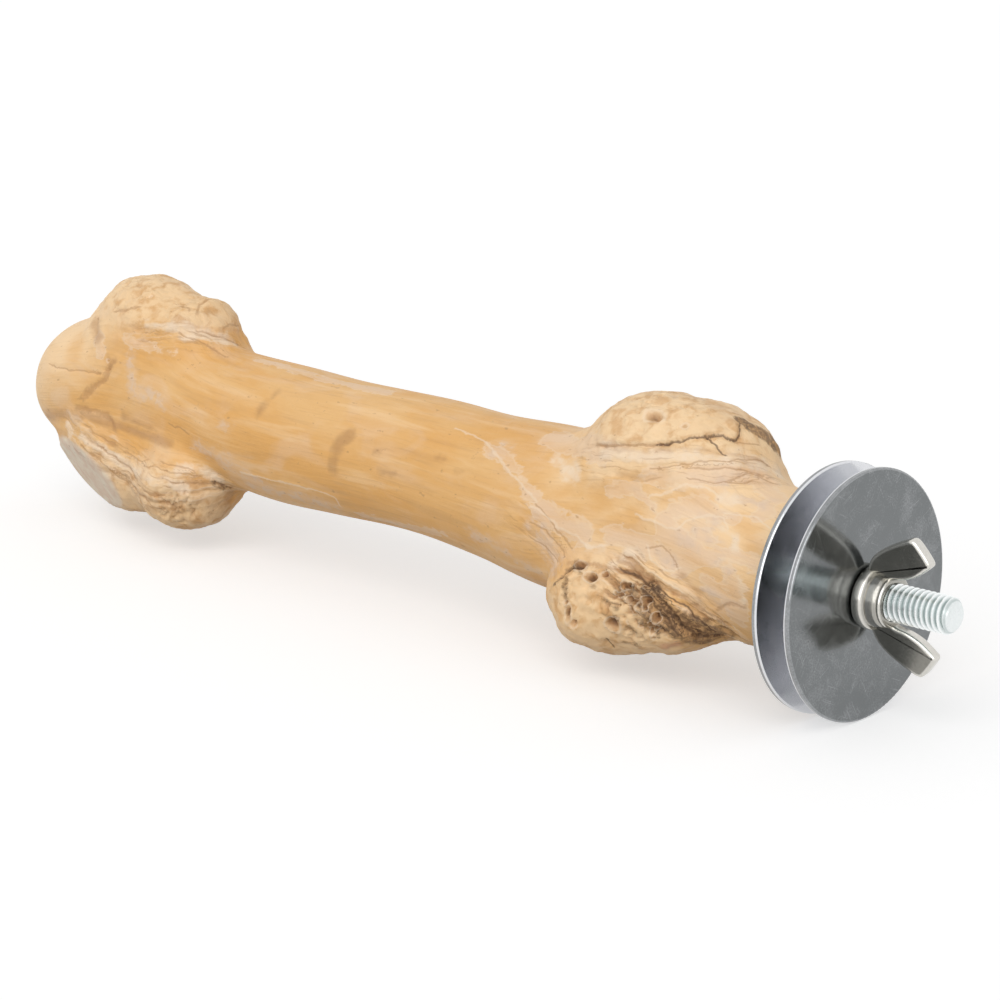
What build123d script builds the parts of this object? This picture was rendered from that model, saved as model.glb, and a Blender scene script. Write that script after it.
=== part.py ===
"""Bolt-on bird perch: a natural branch with a hanger bolt, two clamp discs and a wing nut.

Millimetres. The origin is the centre of the inner disc's clamping face, on the bolt's axis.
+X runs out along the bolt through the cage wall, the branch lies towards -X, and +Z is up.
"""

import os
from dataclasses import dataclass
from math import ceil, cos, floor, radians, sin, tan

from build123d import *

# Branch
branch_length = 198.0
clamp_end_chamfer = 0.6
tip_rounding = 8.5
near_node_distance = 34.0
far_node_from_tip = 36.0

# Clamp discs
disc_diameter = 40.0
disc_thickness = 1.0
disc_edge_rounding = 0.25
disc_bore_clearance = 0.10
disc_seat_clearance = 0.05
clamp_gap = 5.0

# Hanger bolt: machine thread outside, wood thread inside the branch
thread_diameter = 6.0
thread_pitch = 1.0
thread_depth = 0.61
thread_crest_flat = 0.125
flank_angle = 30.0
bolt_tail = 10.95
bolt_tip_chamfer = 0.8
plain_shank = 3.0
shank_clearance = 0.05
wood_thread_length = 30.0
wood_thread_pitch = 2.5
wood_thread_depth = 0.9
wood_thread_crest_flat = 0.35
wood_point_length = 6.0
wood_point_radius = 0.8
wood_thread_bite = 0.45
pilot_spare_depth = 1.0
bar_overlap = 0.08

# Wing nut
nut_seat_clearance = 0.05
nut_thread_clearance = 0.06
nut_bore_relief = 0.14
nut_hub_wall = 1.44
nut_hub_height = 5.0
nut_base_flange = 0.5
nut_base_height = 1.5
nut_edge_rounding = 0.4
wing_span = 23.0
wing_reach = 12.4
wing_root_inset = 0.6
wing_shoulder_back = 3.4
wing_tip_drop = 4.0
wing_back_bow = 1.0
wing_tip_bow = 1.3
wing_front_bow = 0.9
wing_thickness = 1.9
wing_edge_rounding = 0.5
wing_turn = 9.0

# Radii and places along the bolt that follow from them
disc_radius = disc_diameter / 2
thread_radius = thread_diameter / 2
root_radius = thread_radius - thread_depth
wood_root_radius = thread_radius - wood_thread_depth
pilot_radius = thread_radius - wood_thread_bite
disc_bore_radius = thread_radius + disc_bore_clearance
branch_face_x = -(disc_thickness + disc_seat_clearance)
branch_tip_x = branch_face_x - branch_length
near_node_x = branch_face_x - near_node_distance
far_node_x = branch_tip_x + far_node_from_tip
outer_disc_x = clamp_gap
nut_seat_x = outer_disc_x + disc_thickness + nut_seat_clearance
nut_front_x = nut_seat_x + nut_hub_height
bolt_tip_x = nut_front_x + bolt_tail
shank_end_x = branch_face_x - plain_shank
wood_thread_end_x = shank_end_x - wood_thread_length
flank_slope = tan(radians(flank_angle))


@dataclass(frozen=True)
class Section:
    """A round section of the stem: the rise of its centre over the bolt's axis, and its radius."""

    rise: float
    radius: float


@dataclass(frozen=True)
class Swelling:
    """An egg-shaped swelling of the wood round the root of a lost side branch.

    Its middle is given by x, aside along Y and up along Z. The half sizes lie along X, Y and Z.
    """

    x: float
    aside: float
    up: float
    half_length: float
    half_width: float
    half_height: float


# The stem's sections from the clamp end to the tip, at even steps
clamp_end = Section(rise=0.9, radius=12.7)
near_node_front = Section(rise=1.4, radius=13.0)
near_node_middle = Section(rise=1.8, radius=13.5)
near_node_back = Section(rise=2.5, radius=13.8)
near_neck = Section(rise=3.6, radius=12.5)
near_shaft = Section(rise=4.6, radius=12.2)
middle_shaft = Section(rise=4.4, radius=12.4)
far_shaft = Section(rise=4.6, radius=12.9)
far_neck = Section(rise=5.8, radius=12.5)
far_node_middle = Section(rise=6.8, radius=12.6)
end_swelling = Section(rise=6.6, radius=13.4)
tip = Section(rise=4.6, radius=10.4)

# The four knots, two at each node, and the small lobe on the upper far one
near_upper_knot = Swelling(
    x=near_node_x + 0.2, aside=2.0, up=14.0, half_length=16.8, half_width=12.0, half_height=11.6)
near_upper_shoulder = Swelling(
    x=near_node_x + 8.4, aside=3.0, up=12.5, half_length=10.5, half_width=11.0, half_height=10.8)
near_lower_knot = Swelling(
    x=near_node_x - 4.6, aside=-8.0, up=-7.4, half_length=11.5, half_width=11.0, half_height=9.2)
near_lower_shoulder = Swelling(
    x=near_node_x + 6.8, aside=-8.0, up=-6.4, half_length=11.8, half_width=9.0, half_height=8.2)
far_upper_knot = Swelling(
    x=far_node_x - 4.4, aside=1.0, up=15.8, half_length=14.4, half_width=11.0, half_height=13.8)
far_upper_shoulder = Swelling(
    x=far_node_x + 7.4, aside=1.0, up=15.7, half_length=9.8, half_width=10.0, half_height=10.4)
far_upper_lobe = Swelling(
    x=far_node_x + 11.4, aside=1.0, up=21.0, half_length=3.0, half_width=7.0, half_height=5.0)
far_lower_knot = Swelling(
    x=far_node_x - 4.4, aside=-4.5, up=-5.5, half_length=19.7, half_width=11.0, half_height=11.2)
far_lower_shoulder = Swelling(
    x=far_node_x + 15.4, aside=-7.0, up=-7.3, half_length=11.3, half_width=10.5, half_height=9.0)

# The saw took off the outer side of the lower far knot
saw_face_point = (far_node_x - 2.0, -15.7, -6.5)
saw_face_direction = (-0.25, -0.85, -0.46)
saw_plane = Plane(origin=saw_face_point, z_dir=saw_face_direction)


def swelling_solid(swelling: Swelling) -> Part:
    """The egg-shaped solid of a swelling, in its place."""
    with BuildPart() as egg:
        Sphere(1)
        scale(by=(swelling.half_length, swelling.half_width, swelling.half_height))
    return Pos(swelling.x, swelling.aside, swelling.up) * egg.part


def helical_bar(path_radius: float, start_x: float, length: float, pitch: float,
                foot_width: float, height: float) -> Part:
    """A thread's ridge or groove: a trapezium swept round the X axis, with its foot at path_radius.

    A positive height stands outwards, a negative one inwards. The foot is carried on past
    path_radius by an overlap, so that the bar cuts or joins cleanly.
    """
    outwards = 1 if height > 0 else -1
    top_width = foot_width - 2 * flank_slope * abs(height)
    root_width = foot_width + 2 * flank_slope * bar_overlap
    with BuildPart() as bar:
        with BuildLine() as path:
            Helix(pitch, length, path_radius, center=(start_x, 0, 0), direction=(1, 0, 0))
        start = path.line @ 0
        radial = Vector(0, start.Y, start.Z).normalized()
        heading = path.line % 0
        with BuildSketch(Plane(origin=start, x_dir=radial.cross(heading), z_dir=heading)):
            with BuildLine():
                Polyline(
                    (-root_width / 2, -outwards * bar_overlap),
                    (root_width / 2, -outwards * bar_overlap),
                    (top_width / 2, height),
                    (-top_width / 2, height),
                    close=True,
                )
            make_face()
        sweep(path=path.line, is_frenet=True)
    return bar.part


# Branch: a stem with knots at its two nodes, and a pilot hole for the bolt
stem_sections = (
    clamp_end, near_node_front, near_node_middle, near_node_back, near_neck, near_shaft,
    middle_shaft, far_shaft, far_neck, far_node_middle, end_swelling, tip)
stem_step = branch_length / (len(stem_sections) - 1)
round_swellings = (
    near_upper_knot, near_upper_shoulder, near_lower_knot, near_lower_shoulder,
    far_upper_knot, far_upper_shoulder, far_upper_lobe)

with BuildPart() as sawn_knot:
    add(swelling_solid(far_lower_knot))
    add(swelling_solid(far_lower_shoulder))
    split(bisect_by=saw_plane, keep=Keep.BOTTOM)

with BuildPart() as branch:
    for place, section in enumerate(stem_sections):
        centre = (branch_face_x - place * stem_step, 0, section.rise)
        with BuildSketch(Plane(origin=centre, x_dir=(0, 1, 0), z_dir=(1, 0, 0))):
            Circle(section.radius)
    loft()
    fillet(branch.faces().sort_by(Axis.X)[0].edges(), tip_rounding)
    chamfer(branch.faces().sort_by(Axis.X)[-1].edges(), clamp_end_chamfer)
    for swelling in round_swellings:
        add(swelling_solid(swelling))
    add(sawn_knot.part)
    with Locations(Plane(origin=(branch_face_x, 0, 0), z_dir=(1, 0, 0))):
        CounterBoreHole(
            radius=pilot_radius,
            counter_bore_radius=thread_radius + shank_clearance,
            counter_bore_depth=plain_shank + shank_clearance,
            depth=plain_shank + wood_thread_length + pilot_spare_depth,
        )
branch.part.label = "branch"

# Hanger bolt: machine thread through the clamp, plain shank at the wood's face, wood thread with a point
machine_groove = helical_bar(
    path_radius=thread_radius,
    start_x=branch_face_x,
    length=bolt_tip_x - branch_face_x + thread_pitch,
    pitch=thread_pitch,
    foot_width=thread_pitch - thread_crest_flat,
    height=-thread_depth,
)
wood_ridge_foot = wood_thread_crest_flat + 2 * wood_thread_depth * flank_slope
wood_ridge_start_x = wood_thread_end_x + wood_point_length + wood_ridge_foot
wood_ridge = helical_bar(
    path_radius=wood_root_radius,
    start_x=wood_ridge_start_x,
    length=shank_end_x - wood_ridge_foot - wood_ridge_start_x,
    pitch=wood_thread_pitch,
    foot_width=wood_ridge_foot,
    height=wood_thread_depth,
)

with BuildPart() as hanger_bolt:
    with BuildSketch(Plane.XZ):
        with BuildLine():
            Polyline(
                (wood_thread_end_x, 0),
                (wood_thread_end_x, wood_point_radius),
                (wood_thread_end_x + wood_point_length, wood_root_radius),
                (shank_end_x, wood_root_radius),
                (shank_end_x, thread_radius),
                (bolt_tip_x - bolt_tip_chamfer, thread_radius),
                (bolt_tip_x, thread_radius - bolt_tip_chamfer),
                (bolt_tip_x, 0),
                close=True,
            )
        make_face()
    revolve(axis=Axis.X)
    add(machine_groove, mode=Mode.SUBTRACT)
    add(wood_ridge)
hanger_bolt.part.label = "hanger_bolt"


def clamp_disc(name: str, back_x: float) -> Part:
    """A flat round disc with a clear hole for the bolt and softened edges."""
    with BuildPart() as disc:
        with BuildSketch(Plane.YZ.offset(back_x)):
            Circle(disc_radius)
            Circle(disc_bore_radius, mode=Mode.SUBTRACT)
        extrude(amount=disc_thickness)
        rim = disc.edges().filter_by(GeomType.CIRCLE).sort_by(SortBy.RADIUS)[-2:]
        fillet(rim, disc_edge_rounding)
    disc.part.label = name
    return disc.part


inner_disc = clamp_disc("inner_disc", -disc_thickness)
outer_disc = clamp_disc("outer_disc", outer_disc_x)

# Wing nut: a round hub with a threaded bore and two swept wings
nut_bore_radius = root_radius + nut_bore_relief
nut_groove_radius = thread_radius + nut_thread_clearance
nut_hub_radius = nut_groove_radius + nut_hub_wall
nut_base_radius = nut_hub_radius + nut_base_flange
turns_before_nut = floor((nut_seat_x - branch_face_x) / thread_pitch) - 1
bolt_ridge_half_width = thread_crest_flat / 2 + (thread_radius - nut_bore_radius) * flank_slope
nut_groove = helical_bar(
    path_radius=nut_bore_radius,
    start_x=branch_face_x + (turns_before_nut + 0.5) * thread_pitch,
    length=(ceil(nut_hub_height / thread_pitch) + 2) * thread_pitch,
    pitch=thread_pitch,
    foot_width=2 * (bolt_ridge_half_width + nut_thread_clearance),
    height=nut_groove_radius - nut_bore_radius,
)
wing_heading = Vector(0, -sin(radians(wing_turn)), cos(radians(wing_turn)))
wing_plane = Plane(
    origin=(nut_seat_x, 0, 0),
    x_dir=(1, 0, 0),
    z_dir=Vector(1, 0, 0).cross(wing_heading),
)
wing_root_radius = (nut_hub_radius + nut_groove_radius) / 2
wing_tip_radius = wing_span / 2

with BuildPart() as wing_nut:
    with BuildSketch(wing_plane):
        with BuildLine():
            back_edge = SagittaArc(
                (wing_root_inset, wing_root_radius),
                (wing_reach - wing_shoulder_back, wing_tip_radius),
                wing_back_bow)
            tip_edge = SagittaArc(
                back_edge @ 1,
                (wing_reach, wing_tip_radius - wing_tip_drop),
                wing_tip_bow)
            front_edge = SagittaArc(
                tip_edge @ 1,
                (nut_hub_height - wing_root_inset, wing_root_radius),
                wing_front_bow)
            Line(front_edge @ 1, back_edge @ 0)
        make_face()
    extrude(amount=wing_thickness / 2, both=True)
    across_blade = Axis(wing_plane.origin, wing_plane.z_dir)
    blade_sides = wing_nut.faces().filter_by(GeomType.PLANE).sort_by(across_blade)
    blade_edges = ShapeList(blade_sides[0].edges() + blade_sides[-1].edges())
    fillet(blade_edges.filter_by(GeomType.CIRCLE), wing_edge_rounding)
    mirror(about=Plane(origin=(0, 0, 0), z_dir=wing_heading))
    with BuildSketch(Plane.XZ):
        with BuildLine():
            Polyline(
                (nut_seat_x, 0),
                (nut_seat_x, nut_base_radius - nut_edge_rounding),
                (nut_seat_x + nut_edge_rounding, nut_base_radius),
                (nut_seat_x + nut_base_height, nut_base_radius),
                (nut_seat_x + nut_base_height + nut_edge_rounding, nut_hub_radius),
                (nut_front_x - nut_edge_rounding, nut_hub_radius),
                (nut_front_x, nut_hub_radius - nut_edge_rounding),
                (nut_front_x, 0),
                close=True,
            )
        make_face()
    revolve(axis=Axis.X)
    add(nut_groove, mode=Mode.SUBTRACT)
    with BuildSketch(Plane.YZ.offset(nut_seat_x)):
        Circle(nut_bore_radius)
    extrude(amount=nut_hub_height, mode=Mode.SUBTRACT)
wing_nut.part.label = "wing_nut"

os.makedirs("parts", exist_ok=True)
export_step(branch.part, "parts/branch.step")
export_step(hanger_bolt.part, "parts/hanger_bolt.step")
export_step(inner_disc, "parts/inner_disc.step")
export_step(outer_disc, "parts/outer_disc.step")
export_step(wing_nut.part, "parts/wing_nut.step")
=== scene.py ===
"""The looks of a bolt-on bird perch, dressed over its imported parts.

Lengths are in millimetres, and MM turns one into Blender's metres. The frame's origin is the middle
of the inner disc's clamping face, +X runs out along the bolt and the branch lies towards -X. A spot
on the branch is a distance in mm from its clamp end and an angle in degrees from its top to its front.
"""

import logging
import math
from dataclasses import dataclass, field
from enum import Enum

import bmesh
import bpy
import numpy as np
from mathutils import Matrix, Vector, noise

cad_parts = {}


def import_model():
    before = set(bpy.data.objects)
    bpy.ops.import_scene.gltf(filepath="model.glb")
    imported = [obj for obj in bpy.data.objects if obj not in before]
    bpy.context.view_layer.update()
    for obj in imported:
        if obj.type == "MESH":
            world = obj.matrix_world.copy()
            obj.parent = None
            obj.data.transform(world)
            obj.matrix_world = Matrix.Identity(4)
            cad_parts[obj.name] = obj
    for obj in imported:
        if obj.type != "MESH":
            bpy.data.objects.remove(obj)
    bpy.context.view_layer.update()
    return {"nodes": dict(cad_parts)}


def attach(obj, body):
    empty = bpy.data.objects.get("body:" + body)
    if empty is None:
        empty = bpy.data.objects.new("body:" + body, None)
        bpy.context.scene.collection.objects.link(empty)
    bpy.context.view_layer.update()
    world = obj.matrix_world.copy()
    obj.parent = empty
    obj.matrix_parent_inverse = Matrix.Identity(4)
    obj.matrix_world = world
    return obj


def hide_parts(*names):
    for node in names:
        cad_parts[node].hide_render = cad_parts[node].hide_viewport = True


LOG = logging.getLogger("perch")
MM = 0.001
TINY = 1e-6  # keeps a division away from 0
CUT_EDGE = 0.8  # rounding of the wood's cut edges in mm
NO_PIT = 9.0  # half-widths from a pit, where none is near
NO_LINE = 20.0  # line widths from a line, where none is near
OUTSIDE = -6.0  # mm inside a tint, where none is near
INSIDE = 30.0  # the most mm inside a tint
Array = np.ndarray
Point = tuple[float, float, float]
Spot = tuple[float, float]
Colour = tuple[float, float, float]


class Body(str, Enum):
    """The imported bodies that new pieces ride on."""

    PERCH = "perch"
    NUT = "nut"


class Slot(str, Enum):
    """The record's material slots; nothing here gives them to the new pieces."""

    WOOD = "wood"
    NICKEL = "nickel"


class Tint(str, Enum):
    """What a stroke on the branch shows. Each one is a mesh attribute, in mm inside its edge."""

    PEACH = "peach"
    AMBER = "amber"
    FILM = "film"
    GREY = "grey"
    PALE = "pale"
    UMBER = "umber"
    CREAM = "cream"
    ROSE = "rose"
    DARK = "dark"
    SAWN = "sawn"


class Mark(str, Enum):
    """What a thin line on the branch is. Each one but PLAIN is a mesh attribute, in line widths."""

    CRACK = "crack"
    # Brown lines in shallow grooves and creases: partly the wood's own brown, partly painted shade.
    BROWN_SHADED_GROOVE = "brown_shaded_groove"
    EDGE = "edge"
    PLAIN = "plain"


def srgb(red: int, green: int, blue: int) -> Colour:
    """Turns a screen colour into Blender's linear one.

    Args:
        red: red from 0 to 255.
        green: green from 0 to 255.
        blue: blue from 0 to 255.

    Returns:
        The three linear values.
    """
    values = []
    for level in (red, green, blue):
        share = level / 255
        values.append(share / 12.92 if share <= 0.04045 else ((share + 0.055) / 1.055) ** 2.4)
    return (values[0], values[1], values[2])


def smooth_union(a: Array, b: Array, blend: float) -> Array:
    """Joins two distance fields with a rounded valley.

    Args:
        a: distances to the first form.
        b: distances to the second form.
        blend: width of the valley.

    Returns:
        Distances to the joined form.
    """
    overlap = np.maximum(blend - np.abs(a - b), 0.0) / blend
    return np.minimum(a, b) - overlap * overlap * blend / 4


def smooth_cut(a: Array, b: Array, blend: float) -> Array:
    """Keeps what two distance fields share, with a rounded edge.

    Args:
        a: distances to the first form.
        b: distances to the second form.
        blend: width of the rounded edge.

    Returns:
        Distances to the shared form.
    """
    return -smooth_union(-a, -b, blend)


def ramp(values: Array, low: float, high: float) -> Array:
    """Eases values from 0 at low to 1 at high.

    Args:
        values: what to ease.
        low: where the result is 0.
        high: where the result is 1.

    Returns:
        Shares from 0 to 1.
    """
    share = np.clip((values - low) / (high - low), 0.0, 1.0)
    return share * share * (3 - 2 * share)


def speckle(points: Array, size: float, octaves: int, shift: float = 0.0) -> Array:
    """Gives cloudy noise of about -1 to 1 at each point.

    Args:
        points: places in mm.
        size: width of one cloud.
        octaves: how many finer layers it has.
        shift: moves the pattern, so that two layers differ.

    Returns:
        One value for each point.
    """
    places = points / size + shift
    return np.array([noise.fractal(Vector(place), 0.9, 2.0, octaves) for place in places])


def follow(places: Array, path: Array, reach: float, outward: Array | None = None) -> tuple[Array, Array]:
    """Measures how far places lie from a path, and how far to its left.

    Args:
        places: points in mm.
        path: the points that the path runs through.
        reach: how far from the path the result has to be right.
        outward: the way out of the surface at each place, where the sideways offset is asked for.

    Returns:
        Distances, no more than reach, and offsets to the left of the path.
    """
    around = (places > path.min(axis=0) - reach) & (places < path.max(axis=0) + reach)
    close = np.nonzero(around.all(axis=1))[0]
    local = places[close]
    nearest = np.minimum(np.linalg.norm(local - path[0], axis=1), reach)
    sideways = np.full(len(local), reach)
    for start, end in zip(path, path[1:]):
        run = end - start
        share = np.clip((local - start) @ run / (run @ run), 0.0, 1.0)
        away = local - start - share[:, None] * run
        gap = np.linalg.norm(away, axis=1)
        closer = gap <= nearest
        nearest[closer] = gap[closer]
        if outward is not None:
            left = np.cross(outward[close], run)
            left /= np.maximum(np.linalg.norm(left, axis=1), TINY)[:, None]
            sideways[closer] = (away * left).sum(axis=1)[closer]
    distances = np.full(len(places), reach)
    offsets = np.full(len(places), reach)
    distances[close] = nearest
    offsets[close] = sideways
    return distances, offsets


def add_object(name: str, data: bpy.types.ID) -> bpy.types.Object:
    """Puts a mesh, lamp or camera into the scene.

    Args:
        name: the object's name.
        data: what it holds.

    Returns:
        The object.
    """
    added = bpy.data.objects.new(name, data)
    bpy.context.scene.collection.objects.link(added)
    return added


def finished_mesh(form: bmesh.types.BMesh, name: str) -> bpy.types.Mesh:
    """Turns a modelled form into a mesh, and frees the form.

    Args:
        form: the modelled form.
        name: the mesh's name.

    Returns:
        The mesh.
    """
    mesh = bpy.data.meshes.new(name)
    form.to_mesh(mesh)
    form.free()
    return mesh


@dataclass(frozen=True)
class Unevenness:
    """Cloudy ups and downs: their height, the width of one, their finer layers and the pattern's shift."""

    height: float
    size: float
    octaves: int
    shift: float = 0.0

    def at(self, points: Array) -> Array:
        """Gives the height at each point.

        Args:
            points: places in mm.

        Returns:
            Heights in mm.
        """
        return self.height * speckle(points, self.size, self.octaves, self.shift)


@dataclass(frozen=True)
class Station:
    """One cross-section of the stem: the height of its middle and its radius."""

    height: float
    radius: float


@dataclass(frozen=True)
class Lump:
    """One rounded swelling: its middle and its half-widths along X, Y and Z."""

    middle: Point
    reach: Point

    def distance(self, points: Array) -> Array:
        """Measures how far points lie outside the lump.

        Args:
            points: places in mm.

        Returns:
            Distances, negative inside.
        """
        reach = np.array(self.reach)
        scaled = (points - np.array(self.middle)) / reach
        near = np.linalg.norm(scaled, axis=1)
        slope = np.maximum(np.linalg.norm(scaled / reach, axis=1), TINY)
        return near * (near - 1) / slope


@dataclass(frozen=True)
class SawCut:
    """A flat saw cut: a place on it and the way that it faces."""

    place: Point
    facing: Point

    def distance(self, points: Array) -> Array:
        """Measures how far points lie in front of the cut.

        Args:
            points: places in mm.

        Returns:
            Distances, negative in the wood.
        """
        facing = np.array(self.facing) / np.linalg.norm(self.facing)
        return (points - np.array(self.place)) @ facing


@dataclass(frozen=True)
class Knot:
    """The healed stub of a side branch: lumps that flow together and into the stem."""

    lumps: tuple[Lump, ...]
    blend: float
    root_blend: float
    cut: SawCut | None = None

    def distance(self, points: Array) -> Array:
        """Measures how far points lie outside the knot.

        Args:
            points: places in mm.

        Returns:
            Distances, negative inside.
        """
        total = self.lumps[0].distance(points)
        for lump in self.lumps[1:]:
            total = smooth_union(total, lump.distance(points), self.blend)
        if self.cut is not None:
            total = smooth_cut(total, self.cut.distance(points), CUT_EDGE)
        return total


@dataclass(frozen=True)
class Pit:
    """A hollow in the wood: its spot, half-width, length in half-widths, depth and height of its rim."""

    spot: Spot
    reach: float
    stretch: float
    depth: float
    rim: float


@dataclass(frozen=True)
class Line:
    """A crack, a brown groove with painted shade or a torn edge: its half-width, its depth and the spots that
    it runs through.
    """

    mark: Mark
    width: float
    depth: float
    spots: tuple[Spot, ...]


@dataclass(frozen=True)
class Lip:
    """An overhanging edge: the wood left of its run stands up by height and falls away over fade."""

    height: float
    fade: float
    spots: tuple[Spot, ...]


@dataclass(frozen=True)
class Stroke:
    """A stroke of another colour: its tint, half-width and the spots that it runs through."""

    tint: Tint
    width: float
    spots: tuple[Spot, ...]


@dataclass(frozen=True)
class Fibres:
    """A band of split, ropy wood: its half-width, the height of its strands and its run."""

    width: float
    height: float
    spots: tuple[Spot, ...]


@dataclass(frozen=True)
class Burl:
    """A patch of wrinkled wood: its spot, its reach and the depth of its wrinkles."""

    spot: Spot
    reach: float
    depth: float


class Graph:
    """Adds linked nodes to one node tree in few words."""

    def __init__(self, tree: bpy.types.NodeTree) -> None:
        """Starts on a tree.

        Args:
            tree: the node tree to add to.
        """
        self.tree = tree

    def add(self, kind: str, **settings: object) -> bpy.types.Node:
        """Adds a node.

        Args:
            kind: the node's type name.
            settings: properties to set on it.

        Returns:
            The new node.
        """
        node = self.tree.nodes.new(kind)
        for name, value in settings.items():
            setattr(node, name, value)
        return node

    def feed(self, socket: bpy.types.NodeSocket, source: object) -> None:
        """Links a socket to another, or sets its value.

        Args:
            socket: the input to feed.
            source: an output socket, a number or a colour.
        """
        if isinstance(source, bpy.types.NodeSocket):
            self.tree.links.new(source, socket)
        elif isinstance(source, tuple) and socket.type == "RGBA":
            socket.default_value = (*source, 1.0)
        else:
            socket.default_value = source

    def math(self, operation: str, first: object, second: object = 0.0) -> bpy.types.NodeSocket:
        """Adds a sum of two numbers.

        Args:
            operation: the node's operation.
            first: its first number.
            second: its second number.

        Returns:
            The result.
        """
        node = self.add("ShaderNodeMath", operation=operation)
        self.feed(node.inputs[0], first)
        self.feed(node.inputs[1], second)
        return node.outputs[0]

    def span(
        self, value: object, low: float, high: float, to_low: float = 0.0, to_high: float = 1.0
    ) -> bpy.types.NodeSocket:
        """Eases a value from one range to another.

        Args:
            value: the number to ease.
            low: where the result is to_low.
            high: where the result is to_high.
            to_low: the result at low.
            to_high: the result at high.

        Returns:
            The eased number.
        """
        node = self.add("ShaderNodeMapRange", interpolation_type="SMOOTHSTEP")
        names = ("Value", "From Min", "From Max", "To Min", "To Max")
        for name, source in zip(names, (value, low, high, to_low, to_high)):
            self.feed(node.inputs[name], source)
        return node.outputs["Result"]

    def blend(self, share: object, first: object, second: object) -> bpy.types.NodeSocket:
        """Mixes two colours.

        Args:
            share: how much of the second shows.
            first: a colour.
            second: a colour.

        Returns:
            The mixed colour.
        """
        node = self.add("ShaderNodeMix", data_type="RGBA")
        self.feed(node.inputs[0], share)
        self.feed(node.inputs[6], first)
        self.feed(node.inputs[7], second)
        return node.outputs[2]

    def cloud(
        self, vector: object, size: float, detail: float = 3.0, warp: float = 0.0
    ) -> bpy.types.NodeSocket:
        """Adds a noise texture.

        Args:
            vector: where it is read, in metres.
            size: width of one cloud in mm.
            detail: how many finer layers it has.
            warp: how much it is twisted.

        Returns:
            A value about 0.5.
        """
        node = self.add("ShaderNodeTexNoise")
        self.feed(node.inputs["Vector"], vector)
        self.feed(node.inputs["Scale"], 1 / (size * MM))
        self.feed(node.inputs["Detail"], detail)
        self.feed(node.inputs["Distortion"], warp)
        return node.outputs["Fac"]

    def attribute(self, name: str) -> bpy.types.NodeSocket:
        """Reads a number that the mesh carries.

        Args:
            name: the attribute's name.

        Returns:
            Its value.
        """
        return self.add("ShaderNodeAttribute", attribute_name=name).outputs["Fac"]

    def place(self, stretch: Point = (1.0, 1.0, 1.0), turn: float = 0.0) -> bpy.types.NodeSocket:
        """Reads the place on the object.

        Args:
            stretch: what each axis is multiplied by.
            turn: degrees that it is turned about X first.

        Returns:
            The place in metres.
        """
        source = self.add("ShaderNodeTexCoord").outputs["Object"]
        if turn:
            turning = self.add("ShaderNodeMapping")
            self.feed(turning.inputs["Vector"], source)
            turning.inputs["Rotation"].default_value = (math.radians(turn), 0.0, 0.0)
            source = turning.outputs["Vector"]
        mapping = self.add("ShaderNodeMapping")
        self.feed(mapping.inputs["Vector"], source)
        mapping.inputs["Scale"].default_value = stretch
        return mapping.outputs["Vector"]

    def coordinate(self, axis: str) -> bpy.types.NodeSocket:
        """Reads one coordinate of the place on the object.

        Args:
            axis: X, Y or Z.

        Returns:
            The coordinate in metres.
        """
        split = self.add("ShaderNodeSeparateXYZ")
        self.feed(split.inputs["Vector"], self.place())
        return split.outputs[axis]

    def bump(self, height: object, strength: float, depth: float) -> bpy.types.NodeSocket:
        """Adds fine relief.

        Args:
            height: the relief's height.
            strength: how much of it shows.
            depth: the depth of a height of 1, in mm.

        Returns:
            The relief's normal.
        """
        node = self.add("ShaderNodeBump")
        node.inputs["Strength"].default_value = strength
        node.inputs["Distance"].default_value = depth * MM
        self.feed(node.inputs["Height"], height)
        return node.outputs["Normal"]

    def seen(self) -> bpy.types.NodeSocket:
        """Says what is looked at by the camera, in a mirror or through glass.

        Returns:
            1 for what is looked at, 0 for what only lights other things.
        """
        path = self.add("ShaderNodeLightPath")
        seen = path.outputs["Is Camera Ray"]
        for kind in ("Is Glossy Ray", "Is Transmission Ray"):
            seen = self.math("MAXIMUM", seen, path.outputs[kind])
        return seen

    def from_axis(self) -> bpy.types.NodeSocket:
        """Measures the distance from the bolt's axis.

        Returns:
            The distance in mm.
        """
        flat = self.add("ShaderNodeVectorMath", operation="LENGTH")
        self.feed(flat.inputs[0], self.place((0.0, 1 / MM, 1 / MM)))
        return flat.outputs["Value"]


def new_material(name: str) -> tuple[bpy.types.Material, Graph, bpy.types.Node]:
    """Starts a material with one surface shader.

    Args:
        name: the material's name.

    Returns:
        The material, its graph and its surface shader.
    """
    material = bpy.data.materials.new(name)
    material.use_nodes = True
    graph = Graph(material.node_tree)
    return material, graph, material.node_tree.nodes["Principled BSDF"]


def torn_mask_group() -> bpy.types.NodeTree:
    """Makes the node group that turns a depth inside a stroke into a mask with a torn outline.

    Returns:
        The group: Depth, Tear and Softness in, Mask out.
    """
    group = bpy.data.node_groups.new("torn_mask", "ShaderNodeTree")
    for name in ("Depth", "Tear", "Softness"):
        group.interface.new_socket(name, in_out="INPUT", socket_type="NodeSocketFloat")
    group.interface.new_socket("Mask", in_out="OUTPUT", socket_type="NodeSocketFloat")
    graph = Graph(group)
    inward = graph.add("NodeGroupInput")
    outward = graph.add("NodeGroupOutput")
    broad = graph.math("SUBTRACT", graph.cloud(graph.place((0.5, 1.0, 1.0)), 4.0, 6.0, 0.8), 0.5)
    fine = graph.math("SUBTRACT", graph.cloud(graph.place((0.5, 1.0, 1.0)), 0.9, 5.0), 0.5)
    ragged = graph.math("ADD", graph.math("MULTIPLY", broad, 6.0), graph.math("MULTIPLY", fine, 3.0))
    torn = graph.math("MULTIPLY", ragged, inward.outputs["Tear"])
    depth = graph.math("ADD", inward.outputs["Depth"], torn)
    scaled = graph.math("DIVIDE", depth, inward.outputs["Softness"])
    graph.feed(outward.inputs["Mask"], graph.span(scaled, -1.0, 1.0))
    return group


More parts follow.
